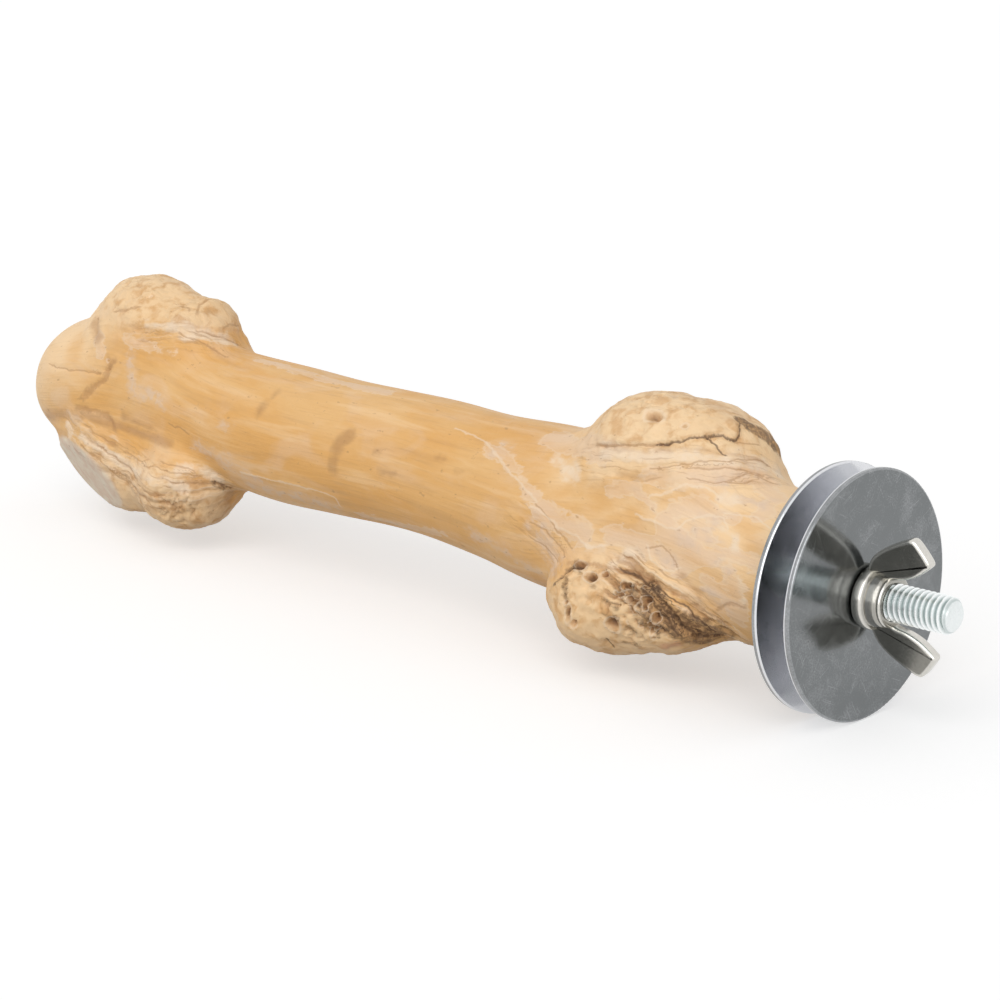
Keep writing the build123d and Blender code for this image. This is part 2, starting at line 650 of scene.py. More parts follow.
class WoodGraph(Graph):
    """Lays the wood's colours over each other, each through a mask."""

    def __init__(self, tree: bpy.types.NodeTree) -> None:
        """Starts with the patterns that several layers read.

        Args:
            tree: the material's node tree.
        """
        super().__init__(tree)
        self.colour: bpy.types.NodeSocket | None = None
        self.torn = torn_mask_group()
        self.along = self.coordinate("X")
        self.flow = self.math("MULTIPLY", self.attribute("grain"), MM)
        self.jitter = self.math("SUBTRACT", self.cloud(self.place(), 0.7, 3.0), 0.5)
        self.strands = self.fibre(0.45, 18.0)
        self.streaks = self.fibre(2.4, 9.0)
        self.mottle = self.cloud(self.place(), 2.4, 6.0, 0.5)
        self.rope = self.attribute("rope")
        self.ropes = self.rope_pattern()

    def part(self, mask: object, share: object) -> bpy.types.NodeSocket:
        """Weakens a mask.

        Args:
            mask: the mask.
            share: how much of it is left.

        Returns:
            The weaker mask.
        """
        return self.math("MULTIPLY", mask, share)

    def lay(self, mask: object, share: float, tint: object) -> None:
        """Lays a colour over what is there.

        Args:
            mask: where it shows.
            share: how much of it shows there.
            tint: the colour.
        """
        self.colour = self.blend(self.part(mask, share), self.colour, tint)

    def stroke(self, tint: Tint, tear: float, softness: float) -> bpy.types.NodeSocket:
        """Adds the torn mask of one tint.

        Args:
            tint: the attribute to read.
            tear: how ragged its outline is.
            softness: how soft its outline is, in mm.

        Returns:
            The mask.
        """
        node = self.add("ShaderNodeGroup", node_tree=self.torn)
        self.feed(node.inputs["Depth"], self.attribute(tint.value))
        self.feed(node.inputs["Tear"], tear)
        self.feed(node.inputs["Softness"], softness)
        return node.outputs["Mask"]

    def fibre(self, size: float, length: float) -> bpy.types.NodeSocket:
        """Adds noise that is drawn out along the grain.

        Args:
            size: width of one fibre in mm.
            length: how many times longer than wide it is.

        Returns:
            A value about 0.5.
        """
        vector = self.add("ShaderNodeCombineXYZ")
        self.feed(vector.inputs["X"], self.math("DIVIDE", self.along, length))
        self.feed(vector.inputs["Y"], self.flow)
        return self.cloud(vector.outputs["Vector"], size, 4.0, 0.3)

    def rope_pattern(self) -> bpy.types.NodeSocket:
        """Adds noise that is drawn out along the strands of split wood.

        Returns:
            A value about 0.5.
        """
        vector = self.add("ShaderNodeCombineXYZ")
        self.feed(vector.inputs["X"], self.math("MULTIPLY", self.attribute("across"), MM))
        self.feed(vector.inputs["Y"], self.math("MULTIPLY", self.along, 0.1))
        self.feed(vector.inputs["Z"], self.math("MULTIPLY", self.coordinate("Z"), 0.1))
        return self.cloud(vector.outputs["Vector"], 0.55, 4.0, 0.4)

    def line(self, mark: Mark) -> bpy.types.NodeSocket:
        """Adds the mask of one kind of thin line.

        Args:
            mark: the attribute to read.

        Returns:
            The mask.
        """
        across = self.math("ADD", self.attribute(mark.value), self.part(self.jitter, 2.2))
        thin = self.span(self.math("ABSOLUTE", across), 1.7, 0.3)
        return self.part(thin, self.span(self.attribute(f"{mark.value}_near"), 6.0, 3.0))


@dataclass(frozen=True)
class WoodFinish:
    """Bare honey-coloured hardwood with torn bark film, cream knots, saw cuts and dark bark; it also carries
    painted light: shade in grooves, pits and on the near lower knot's shaded side, highlights on ridges and
    pit rims, and a lighter clamp end.
    """

    honey: Colour = srgb(232, 184, 120)
    amber: Colour = srgb(228, 172, 98)
    peach: Colour = srgb(250, 216, 171)
    umber: Colour = srgb(168, 122, 78)
    film: Colour = srgb(236, 205, 174)
    grey: Colour = srgb(226, 199, 174)
    pale: Colour = srgb(245, 222, 194)
    cream: Colour = srgb(245, 212, 168)
    cream_brown: Colour = srgb(214, 168, 116)
    rose: Colour = srgb(222, 164, 124)
    sawn: Colour = srgb(234, 218, 194)
    bark_and_shade: Colour = srgb(150, 114, 78)
    crack: Colour = srgb(88, 63, 42)
    bump_strength: float = 0.6
    bump_depth: float = 0.3

    def lay_bare_wood(self, wood: WoodGraph) -> None:
        """Lays the honey-coloured wood and its streaks, and the lighter peach wood at both ends, which at the
        clamp end is painted light.

        Args:
            wood: the material's graph.
        """
        broad = wood.cloud(wood.place((0.4, 1.0, 1.0)), 11.0, 4.0, 0.5)
        veil = wood.cloud(wood.place((0.45, 1.0, 1.0)), 6.0, 6.0, 0.9)
        peach = wood.blend(wood.span(broad, 0.46, 0.72), self.peach, self.honey)
        wood.colour = wood.blend(wood.span(broad, 0.38, 0.64), self.honey, self.amber)
        # Painted light: the peach strokes lighten the ends, at the clamp end as if more light fell there.
        wood.lay(wood.stroke(Tint.PEACH, 1.0, 8.0), 0.9, peach)
        wood.lay(wood.stroke(Tint.AMBER, 0.7, 1.6), 0.5, self.amber)
        wood.lay(wood.span(veil, 0.48, 0.72), 0.32, self.film)
        wood.lay(wood.span(wood.streaks, 0.50, 0.70), 0.35, self.peach)
        wood.lay(wood.span(wood.streaks, 0.48, 0.28), 0.18, self.umber)
        wood.lay(wood.span(wood.strands, 0.52, 0.74), 0.16, self.umber)

    def lay_bark_film(self, wood: WoodGraph) -> tuple[bpy.types.NodeSocket, bpy.types.NodeSocket]:
        """Lays the torn bark film and the brown stains beside it; one umber stroke on the far node is painted
        shade in a hollow.

        Args:
            wood: the material's graph.

        Returns:
            The masks of the film and of its grey patches.
        """
        whole = wood.stroke(Tint.FILM, 0.8, 0.8)
        film = wood.part(whole, wood.span(wood.streaks, 0.36, 0.58, 0.45, 0.95))
        grey = wood.part(wood.stroke(Tint.GREY, 1.0, 1.2), wood.span(wood.mottle, 0.40, 0.58, 0.25, 1.0))
        rim = wood.part(wood.span(whole, 0.1, 0.45), wood.span(whole, 0.85, 0.5))
        wood.lay(film, 0.75, self.film)
        wood.lay(grey, 0.7, self.grey)
        wood.lay(rim, 0.3, self.pale)
        # The umber strokes are brown stains, and one on the far node is painted shade in a hollow.
        wood.lay(wood.stroke(Tint.UMBER, 0.4, 0.9), 0.5, self.umber)
        return film, grey

    def lay_knots(self, wood: WoodGraph) -> tuple[bpy.types.NodeSocket, bpy.types.NodeSocket]:
        """Lays the cream knots, their pale and rosy places and the saw cut.

        Args:
            wood: the material's graph.

        Returns:
            The masks of the cream and of the pale places.
        """
        cream = wood.stroke(Tint.CREAM, 0.6, 2.0)
        pale = wood.part(wood.stroke(Tint.PALE, 0.6, 0.7), wood.span(wood.mottle, 0.28, 0.55, 0.45, 0.95))
        wood.lay(cream, 0.75, wood.blend(wood.span(wood.mottle, 0.45, 0.70), self.cream, self.cream_brown))
        wood.lay(pale, 0.8, self.pale)
        wood.lay(wood.stroke(Tint.ROSE, 0.4, 0.6), 0.7, self.rose)
        sawn = wood.blend(wood.span(wood.mottle, 0.3, 0.7), self.sawn, self.grey)
        wood.lay(wood.stroke(Tint.SAWN, 0.04, 0.3), 1.0, sawn)
        return cream, pale

    def lay_relief(self, wood: WoodGraph) -> None:
        """Paints highlights on the tops of strands and folds, paints shade in their grooves and wherever the
        wood is carved in, and darkens the specks.

        Args:
            wood: the material's graph.
        """
        fold = wood.attribute("fold")
        specks = wood.cloud(wood.place((0.5, 1.0, 1.0)), 0.9, 3.0)
        # Painted highlight on the strands' tops and painted shade between them, read from the pattern that
        # also bumps them.
        wood.lay(wood.part(wood.span(wood.ropes, 0.54, 0.70), wood.rope), 0.6, self.pale)
        wood.lay(wood.part(wood.span(wood.ropes, 0.47, 0.30), wood.rope), 0.85, self.umber)
        # Painted highlight on raised folds and painted shade in sunken ones.
        wood.lay(wood.span(fold, 0.06, 0.35), 0.35, self.pale)
        wood.lay(wood.span(fold, -0.04, -0.28), 0.5, self.umber)
        # Painted shade wherever the wood is carved in: pits, wrinkles, grooves and the valleys of its
        # unevenness.
        wood.lay(wood.span(wood.attribute("height"), -0.25, -1.0), 0.6, self.umber)
        wood.lay(wood.span(specks, 0.66, 0.75), 0.45, self.umber)

    def lay_dark_bark_and_shade(self, wood: WoodGraph) -> bpy.types.NodeSocket:
        """Lays the dark, flaky bark, which is partly painted shade on the near lower knot's shaded side.

        Args:
            wood: the material's graph.

        Returns:
            The mask of the dark bark and its painted shade.
        """
        dark = wood.stroke(Tint.DARK, 0.6, 0.5)
        flakes = wood.cloud(wood.place(), 0.6, 4.0)
        bark_and_shade = wood.blend(wood.span(wood.ropes, 0.38, 0.60), self.crack, self.bark_and_shade)
        bark_and_shade = wood.blend(wood.part(wood.span(wood.mottle, 0.50, 0.70), 0.8), bark_and_shade, self.cream_brown)
        bark_and_shade = wood.blend(wood.part(wood.span(flakes, 0.52, 0.62), 0.6), bark_and_shade, self.cream_brown)
        bark_and_shade = wood.blend(wood.part(wood.span(flakes, 0.46, 0.36), 0.6), bark_and_shade, self.crack)
        wood.lay(dark, 0.85, bark_and_shade)
        return dark

    def lay_marks(self, wood: WoodGraph) -> None:
        """Paints a highlight on the pits' raised rims and shade inside them, darkest in their middles, and
        lays the thin lines.

        Args:
            wood: the material's graph.
        """
        hollow = wood.attribute("hollow")
        # Painted highlight on the raised rims round the pits, then painted shade inside them, darkest where
        # they are deepest.
        wood.lay(wood.part(wood.span(hollow, 0.98, 1.15), wood.span(hollow, 1.50, 1.25)), 0.4, self.pale)
        wood.lay(wood.span(hollow, 1.25, 0.7), 0.55, self.umber)
        wood.lay(wood.span(hollow, 0.75, 0.30), 0.7, self.crack)
        # Brown lines in shallow grooves: partly the wood's own brown, partly painted shade in the creases.
        wood.lay(wood.line(Mark.BROWN_SHADED_GROOVE), 0.45, self.umber)
        wood.lay(wood.line(Mark.EDGE), 0.5, self.pale)
        wood.lay(wood.line(Mark.CRACK), 0.75, self.crack)

    def build(self) -> bpy.types.Material:
        """Makes the material.

        Returns:
            The wood's material.
        """
        material, _, shader = new_material("branch_wood")
        wood = WoodGraph(material.node_tree)
        self.lay_bare_wood(wood)
        film, grey = self.lay_bark_film(wood)
        cream, pale = self.lay_knots(wood)
        self.lay_relief(wood)
        dark = self.lay_dark_bark_and_shade(wood)
        self.lay_marks(wood)
        wood.feed(shader.inputs["Base Color"], wood.colour)

        roughness = wood.span(wood.mottle, 0.2, 0.8, 0.50, 0.64)
        wood.feed(shader.inputs["Roughness"], wood.math("ADD", roughness, wood.part(dark, 0.2)))
        grit = wood.part(wood.cloud(wood.place(), 0.7, 5.0), 0.5)
        heights = (
            wood.part(wood.strands, 0.5),
            wood.part(wood.part(wood.ropes, wood.rope), 1.5),
            wood.part(film, 0.25),
            wood.part(wood.math("ADD", pale, grey), 0.3),
            wood.part(wood.math("ADD", dark, wood.part(cream, 0.5)), wood.part(wood.mottle, 2.0)),
        )
        for height in heights:
            grit = wood.math("ADD", grit, height)
        wood.feed(shader.inputs["Normal"], wood.bump(grit, self.bump_strength, self.bump_depth))
        return material


def scratch_group() -> bpy.types.NodeTree:
    """Makes the node group for fine scratches and smears on metal.

    Returns:
        The group: Scratches, Smears and Grain out.
    """
    group = bpy.data.node_groups.new("fine_scratches", "ShaderNodeTree")
    for name in ("Scratches", "Smears", "Grain"):
        group.interface.new_socket(name, in_out="OUTPUT", socket_type="NodeSocketFloat")
    graph = Graph(group)
    outward = graph.add("NodeGroupOutput")
    scratches = None
    for turn in (24.0, 61.0, 118.0, 152.0):
        lines = graph.span(graph.cloud(graph.place((1.0, 0.03, 1.0), turn), 0.17, 1.0), 0.68, 0.78)
        scratches = lines if scratches is None else graph.math("MAXIMUM", scratches, lines)
    graph.feed(outward.inputs["Scratches"], scratches)
    graph.feed(outward.inputs["Smears"], graph.cloud(graph.place(), 4.0, 6.0, 0.5))
    graph.feed(outward.inputs["Grain"], graph.cloud(graph.place(), 0.3, 2.0))
    return group


@dataclass(frozen=True)
class MetalFinish:
    """A plated or polished metal with fine scratches and smears, and the painted highlights that bright_share
    gives.
    """

    name: str
    colour: Colour
    wear_and_sheen: Colour
    roughness: float
    scratch: float
    bump_strength: float = 0.12
    bump_depth: float = 0.02

    def bright_share(self, graph: Graph) -> bpy.types.NodeSocket | float:
        """Says where the metal has painted highlights, brighter than its plain colour.

        Args:
            graph: the material's graph.

        Returns:
            A mask, or 0 for nowhere.
        """
        return 0.0

    def build(self, scratches: bpy.types.NodeTree) -> bpy.types.Material:
        """Makes the material.

        Args:
            scratches: the shared node group for scratches and smears.

        Returns:
            The metal's material.
        """
        material, graph, shader = new_material(self.name)
        wear = graph.add("ShaderNodeGroup", node_tree=scratches)
        wear_and_sheen = graph.math("MULTIPLY", wear.outputs["Scratches"], self.scratch)
        tone = graph.span(wear.outputs["Smears"], 0.25, 0.75, -0.06, 0.10)
        tone = graph.math("ADD", tone, graph.span(wear.outputs["Grain"], 0.3, 0.7, -0.06, 0.06))
        # The bright colour shows in the real scratches and in the painted highlights.
        share = graph.math("ADD", graph.math("MAXIMUM", self.bright_share(graph), wear_and_sheen), tone)
        graph.feed(shader.inputs["Base Color"], graph.blend(share, self.colour, self.wear_and_sheen))
        smear = graph.span(wear.outputs["Smears"], 0.3, 0.7, self.roughness * 0.8, self.roughness * 1.25)
        graph.feed(shader.inputs["Roughness"], graph.math("ADD", smear, graph.math("MULTIPLY", wear_and_sheen, 0.12)))
        shader.inputs["Metallic"].default_value = 1.0
        relief = graph.bump(wear.outputs["Scratches"], self.bump_strength, self.bump_depth)
        graph.feed(shader.inputs["Normal"], relief)
        return material


@dataclass(frozen=True)
class DiscFinish(MetalFinish):
    """Polished steel with a painted highlight on the rim and painted light on the faces that look into the
    gap between the discs.
    """

    gap: tuple[float, float] = (-0.3, 5.3)
    gap_fade: float = 0.1
    rim: float = 19.75
    rim_fade: float = 0.15
    rim_shine: float = 0.22

    def bright_share(self, graph: Graph) -> bpy.types.NodeSocket | float:
        """Says where the discs get painted light.

        Args:
            graph: the material's graph.

        Returns:
            A mask of the painted highlight on the rims and of the painted light on the faces that look into
            the gap.
        """
        x = graph.coordinate("X")
        start, end = self.gap
        # Painted light on the faces in the gap, and a painted highlight on the rims.
        ahead = graph.span(x, (start - self.gap_fade) * MM, start * MM)
        behind = graph.span(x, (end + self.gap_fade) * MM, end * MM)
        rim = graph.span(graph.from_axis(), self.rim - self.rim_fade, self.rim, 0.0, self.rim_shine)
        return graph.math("MAXIMUM", graph.math("MULTIPLY", ahead, behind), rim)


@dataclass(frozen=True)
class BoltFinish(MetalFinish):
    """Bright zinc, with painted shade in the thread's grooves and painted highlights on its crests and cut
    end.
    """

    crest: float = 2.95
    root: float = 2.5
    tip: float = 21.7
    tip_fade: float = 0.2
    tip_shine: float = 0.6

    def bright_share(self, graph: Graph) -> bpy.types.NodeSocket | float:
        """Says where the bolt is brighter.

        Args:
            graph: the material's graph.

        Returns:
            A mask of the painted highlights on the thread's crests and on the cut end.
        """
        x = graph.coordinate("X")
        # Painted highlights: the crests and the cut end are brighter, the grooves darker.
        cut_end = graph.span(x, self.tip * MM, (self.tip + self.tip_fade) * MM, 0.0, self.tip_shine)
        return graph.math("MAXIMUM", graph.span(graph.from_axis(), self.root, self.crest), cut_end)


@dataclass(frozen=True)
class NutFinish(MetalFinish):
    """Nickel plate with painted highlights along the edges and hub bands that its mesh marks."""

    edge_shine: float = 0.8

    def bright_share(self, graph: Graph) -> bpy.types.NodeSocket | float:
        """Says where the nut is brighter.

        Args:
            graph: the material's graph.

        Returns:
            A mask of its painted highlights.
        """
        # Painted highlights on the edges and hub bands.
        return graph.math("MULTIPLY", graph.attribute("edge"), self.edge_shine)


def near_upper_knot() -> Knot:
    """Describes the cushion-like knot above the clamp end.

    Returns:
        The knot.
    """
    lumps = (Lump((-34.85, 2, 14.0), (16.8, 12, 11.6)), Lump((-26.65, 3, 12.5), (10.5, 11, 10.8)))
    return Knot(lumps, 4.0, 5.5)


def near_lower_knot() -> Knot:
    """Describes the knobbly knot below the clamp end, which faces the viewer.

    Returns:
        The knot.
    """
    lumps = (Lump((-38.65, -8, -7.4), (10.5, 11, 9.2)), Lump((-28.25, -8, -6.4), (11.8, 9, 8.2)))
    return Knot(lumps, 4.0, 3.5)


def far_upper_knot() -> Knot:
    """Describes the two-humped knot above the free end, with its small lobe.

    Returns:
        The knot.
    """
    lumps = (
        Lump((-167.45, 1, 15.8), (14.4, 11, 13.8)),
        Lump((-155.65, 1, 15.7), (9.8, 10, 10.4)),
        Lump((-151.65, 1, 21.0), (3.0, 7, 5.0)),
    )
    return Knot(lumps, 3.5, 5.0)


def far_lower_knot() -> Knot:
    """Describes the sawn and split knot below the free end.

    Returns:
        The knot.
    """
    lumps = (Lump((-167.45, -4.5, -5.5), (19.7, 11, 11.2)), Lump((-148.65, -7, -7.3), (10.3, 10.5, 9.0)))
    return Knot(lumps, 4.0, 4.5, SawCut((-165.05, -15.7, -6.5), (-0.25, -0.85, -0.46)))


def stem_stations() -> tuple[Station, ...]:
    """Describes the stem from the clamp end to the free end, at even steps.

    Returns:
        Its cross-sections.
    """
    return (
        Station(0.9, 12.7),
        Station(1.4, 13.0),
        Station(1.8, 13.5),
        Station(2.5, 13.8),
        Station(3.6, 12.5),
        Station(4.6, 12.2),
        Station(4.4, 12.4),
        Station(4.6, 12.9),
        Station(5.8, 12.5),
        Station(6.8, 12.6),
        Station(6.6, 13.4),
        Station(4.6, 10.4),
    )


def worm_holes() -> tuple[Pit, ...]:
    """Describes the small round holes on the knob of the near lower knot.

    Returns:
        The holes.
    """
    large = ((29, 103), (27, 109), (24, 108), (26, 113), (22, 115))
    middling = ((29, 108), (26, 110), (24, 111), (23, 119), (22, 121), (23, 123), (28, 103))
    small = ((27, 119), (25, 114), (25, 102), (30, 107), (25, 120), (23, 127))
    holes = []
    for reach, spots in ((0.75, large), (0.55, middling), (0.42, small)):
        holes.extend(Pit(spot, reach, 1.0, 1.8 * reach, 0.45 * reach) for spot in spots)
    return tuple(holes)


def hollows() -> tuple[Pit, ...]:
    """Describes the larger hollows in the knots.

    Returns:
        The hollows.
    """
    return (
        Pit((32, 14), 1.5, 1.4, 0.7, 0.15),
        Pit((33, -2), 1.1, 1.3, 0.4, 0.1),
        Pit((28, 18), 0.7, 0.8, 0.2, 0.0),
        Pit((26, 13), 1.2, 1.1, 0.3, 0.05),
        Pit((30, 121), 1.1, 1.3, 1.2, 0.4),
        Pit((38, 118), 1.4, 0.4, 1.2, 0.2),
        Pit((37, 122), 0.7, 1.0, 0.7, 0.15),
        Pit((39, 114), 0.6, 1.0, 0.6, 0.1),
        Pit((38, 100), 0.9, 1.5, 0.9, 0.2),
        Pit((35, 103), 0.8, 1.6, 0.9, 0.25),
        Pit((33, 101), 0.6, 1.0, 0.8, 0.2),
        Pit((166, 56), 0.8, 1.0, 0.4, 0.0),
        Pit((154, 37), 0.6, 1.0, 0.3, 0.0),
        Pit((161, 12), 0.6, 0.8, 0.4, 0.0),
    )


def overhangs() -> tuple[Lip, ...]:
    """Describes the overgrown edges of the two upper knots and the peel beside the clamp end.

    Returns:
        The lips.
    """
    return (
        Lip(0.8, 3.0, ((40, 29), (34, 28), (29, 24), (25, 19), (22, 12), (21, 9), (19, 4), (19, -1))),
        Lip(0.5, 3.0, ((161, 30), (156, 28), (151, 25), (148, 17), (146, 3), (146, -15))),
        Lip(0.2, 2.0, ((17, 32), (19, 32), (22, 35), (24, 40), (27, 46))),
    )


def wrinkled_patches() -> tuple[Burl, ...]:
    """Describes where the knots are wrinkled.

    Returns:
        The patches.
    """
    return (
        Burl((26, 112), 8.0, 1.0),
        Burl((37, 108), 7.0, 0.4),
        Burl((31, 8), 10.0, 0.3),
        Burl((40, 5), 8.0, 0.2),
        Burl((166, 10), 10.0, 0.3),
        Burl((152, 8), 7.0, 0.3),
        Burl((142, 138), 7.0, 0.5),
        Burl((160, -70), 9.0, 0.3),
        Burl((35, -60), 9.0, 0.3),
    )


def ropy_bands() -> tuple[Fibres, ...]:
    """Describes where the wood is split into strands.

    Returns:
        The bands.
    """
    return (
        Fibres(3.6, 0.28, ((42, 36), (31, 34), (24, 27), (19, 19), (15, 4), (13, -10))),
        Fibres(4.6, 0.65, ((29, 100), (24, 105), (20, 111), (17, 121), (15, 132), (13, 142))),
        Fibres(4.5, 0.42, ((174, 118), (164, 123), (155, 127), (145, 127), (139, 134), (136, 146))),
        Fibres(3.5, 0.20, ((54, 84), (49, 90), (44, 104))),
        Fibres(2.6, 0.35, ((158, 32), (149, 24), (145, 12), (143, -10))),
    )


def near_upper_lines() -> tuple[Line, ...]:
    """Describes the splits under the near upper knot and the torn film beside the clamp end.

    Returns:
        The lines.
    """
    return (
        Line(Mark.CRACK, 0.14, 0.7, ((29, 24), (25, 19), (22, 12), (21, 9), (19, 4), (19, -1), (20, -5))),
        Line(Mark.BROWN_SHADED_GROOVE, 0.18, 0.35, ((40, 29), (37, 29), (34, 28), (29, 24))),
        Line(Mark.CRACK, 0.13, 0.5, ((22, 12), (20, 12), (19, 12))),
        Line(Mark.BROWN_SHADED_GROOVE, 0.15, 0.25, ((19, 4), (18, 1), (17, -8))),
        Line(Mark.BROWN_SHADED_GROOVE, 0.14, 0.22, ((24, 28), (21, 22), (18, 13), (16, -1), (15, -11))),
        Line(Mark.BROWN_SHADED_GROOVE, 0.12, 0.22, ((22, 32), (18, 26), (15, 15), (13, -6))),
        Line(Mark.BROWN_SHADED_GROOVE, 0.14, 0.22, ((28, 34), (24, 29), (20, 23), (17, 14), (14, 1))),
        Line(Mark.BROWN_SHADED_GROOVE, 0.15, 0.2, ((17, 22), (15, 6), (12, -3))),
        Line(Mark.EDGE, 0.22, -0.15, ((27, 46), (24, 40), (22, 35), (19, 32), (17, 32))),
        Line(Mark.EDGE, 0.20, -0.15, ((29, 60), (25, 63), (21, 61), (20, 55), (17, 47), (14, 45), (13, 51))),
        Line(Mark.EDGE, 0.18, -0.1, ((14, 41), (9, 39), (6, 44))),
        Line(Mark.BROWN_SHADED_GROOVE, 0.14, 0.15, ((26, 80), (24, 77), (21, 81), (20, 88))),
        Line(Mark.EDGE, 0.16, -0.1, ((20, 89), (22, 92), (25, 88), (26, 81))),
        Line(Mark.BROWN_SHADED_GROOVE, 0.30, 0.15, ((12, 110), (10, 105), (8, 104))),
    )


def near_lower_lines() -> tuple[Line, ...]:
    """Describes the fan of splits round the near lower knot.

    Returns:
        The lines.
    """
    return (
        Line(Mark.CRACK, 0.28, 1.2, ((42, 109), (41, 104), (39, 101))),
        Line(Mark.BROWN_SHADED_GROOVE, 0.35, 0.5, ((40, 100), (37, 98), (34, 98), (30, 97), (27, 98))),
        Line(Mark.CRACK, 0.20, 0.8, ((30, 97), (27, 98), (24, 102), (21, 109), (19, 118))),
        Line(Mark.CRACK, 0.14, 0.5, ((25, 100), (21, 105), (18, 113), (16, 123), (15, 135))),
        Line(Mark.BROWN_SHADED_GROOVE, 0.20, 0.4, ((24, 99), (20, 104), (17, 112), (15, 123), (12, 130))),
        Line(Mark.CRACK, 0.20, 0.6, ((22, 110), (19, 117), (18, 126), (17, 135))),
        Line(Mark.BROWN_SHADED_GROOVE, 0.20, 0.35, ((22, 102), (18, 107), (15, 117), (12, 126))),
        Line(Mark.CRACK, 0.20, 0.6, ((25, 104), (22, 111), (20, 119), (19, 127))),
        Line(Mark.CRACK, 0.14, 0.3, ((32, 131), (32, 135))),
        Line(Mark.BROWN_SHADED_GROOVE, 0.15, 0.15, ((50, 73), (47, 78), (45, 85), (42, 93))),
        Line(Mark.BROWN_SHADED_GROOVE, 0.14, 0.12, ((51, 85), (48, 87), (45, 93), (43, 99))),
        Line(Mark.BROWN_SHADED_GROOVE, 0.14, 0.12, ((51, 95), (49, 98), (45, 104))),
        Line(Mark.EDGE, 0.20, -0.1, ((51, 74), (46, 79), (45, 83), (41, 85), (38, 90), (35, 86))),
    )


def stem_lines() -> tuple[Line, ...]:
    """Describes the edges of the bark film along the stem.

    Returns:
        The lines.
    """
    return (
        Line(Mark.EDGE, 0.20, -0.15, ((75, 32), (68, 35), (62, 48), (56, 60), (51, 69))),
        Line(Mark.EDGE, 0.20, -0.15, ((126, 116), (118, 116), (109, 117), (102, 120), (102, 130))),
    )


def far_lines() -> tuple[Line, ...]:
    """Describes the splits and folds of the far node.

    Returns:
        The lines.
    """
    return (
        Line(Mark.BROWN_SHADED_GROOVE, 0.14, 0.3, ((184, 68), (178, 71), (173, 70), (167, 68), (165, 63))),
        Line(Mark.BROWN_SHADED_GROOVE, 0.60, 0.4, ((165, 63), (166, 72), (169, 81), (171, 89))),
        Line(Mark.BROWN_SHADED_GROOVE, 0.22, 0.4, ((167, 26), (164, 24), (162, 21))),
        Line(Mark.BROWN_SHADED_GROOVE, 0.30, 0.5, ((149, 7), (150, 3), (150, -1))),
        Line(Mark.BROWN_SHADED_GROOVE, 0.25, 0.3, ((153, 9), (151, 10))),
        Line(Mark.BROWN_SHADED_GROOVE, 0.20, 0.3, ((146, -6), (147, -19))),
        Line(Mark.BROWN_SHADED_GROOVE, 0.20, 0.3, ((149, 24), (146, 18), (143, 14), (140, 15))),
        Line(Mark.BROWN_SHADED_GROOVE, 0.18, 0.3, ((147, 14), (145, 2), (144, -11), (143, -15))),
        Line(Mark.PLAIN, 1.20, 0.5, ((173, 30), (172, 39))),
        Line(Mark.BROWN_SHADED_GROOVE, 0.16, 0.15, ((146, 94), (141, 96))),
        Line(Mark.BROWN_SHADED_GROOVE, 0.50, 0.2, ((172, 101), (168, 101), (164, 103), (163, 107))),
        Line(Mark.BROWN_SHADED_GROOVE, 0.18, 0.4, ((165, 121), (160, 125), (155, 129), (145, 128), (142, 136))),
        Line(Mark.BROWN_SHADED_GROOVE, 0.18, 0.4, ((160, 130), (157, 134), (149, 131), (145, 136))),
        Line(Mark.BROWN_SHADED_GROOVE, 0.16, 0.3, ((158, 122), (150, 120), (143, 121), (139, 128))),
        Line(Mark.BROWN_SHADED_GROOVE, 0.15, 0.3, ((153, 122), (144, 118), (140, 124))),
        Line(Mark.BROWN_SHADED_GROOVE, 0.18, 0.3, ((142, 125), (139, 131), (137, 138), (136, 149))),
        Line(Mark.BROWN_SHADED_GROOVE, 0.18, 0.25, ((170, 123), (163, 128), (159, 135), (151, 135), (149, 139))),
    )


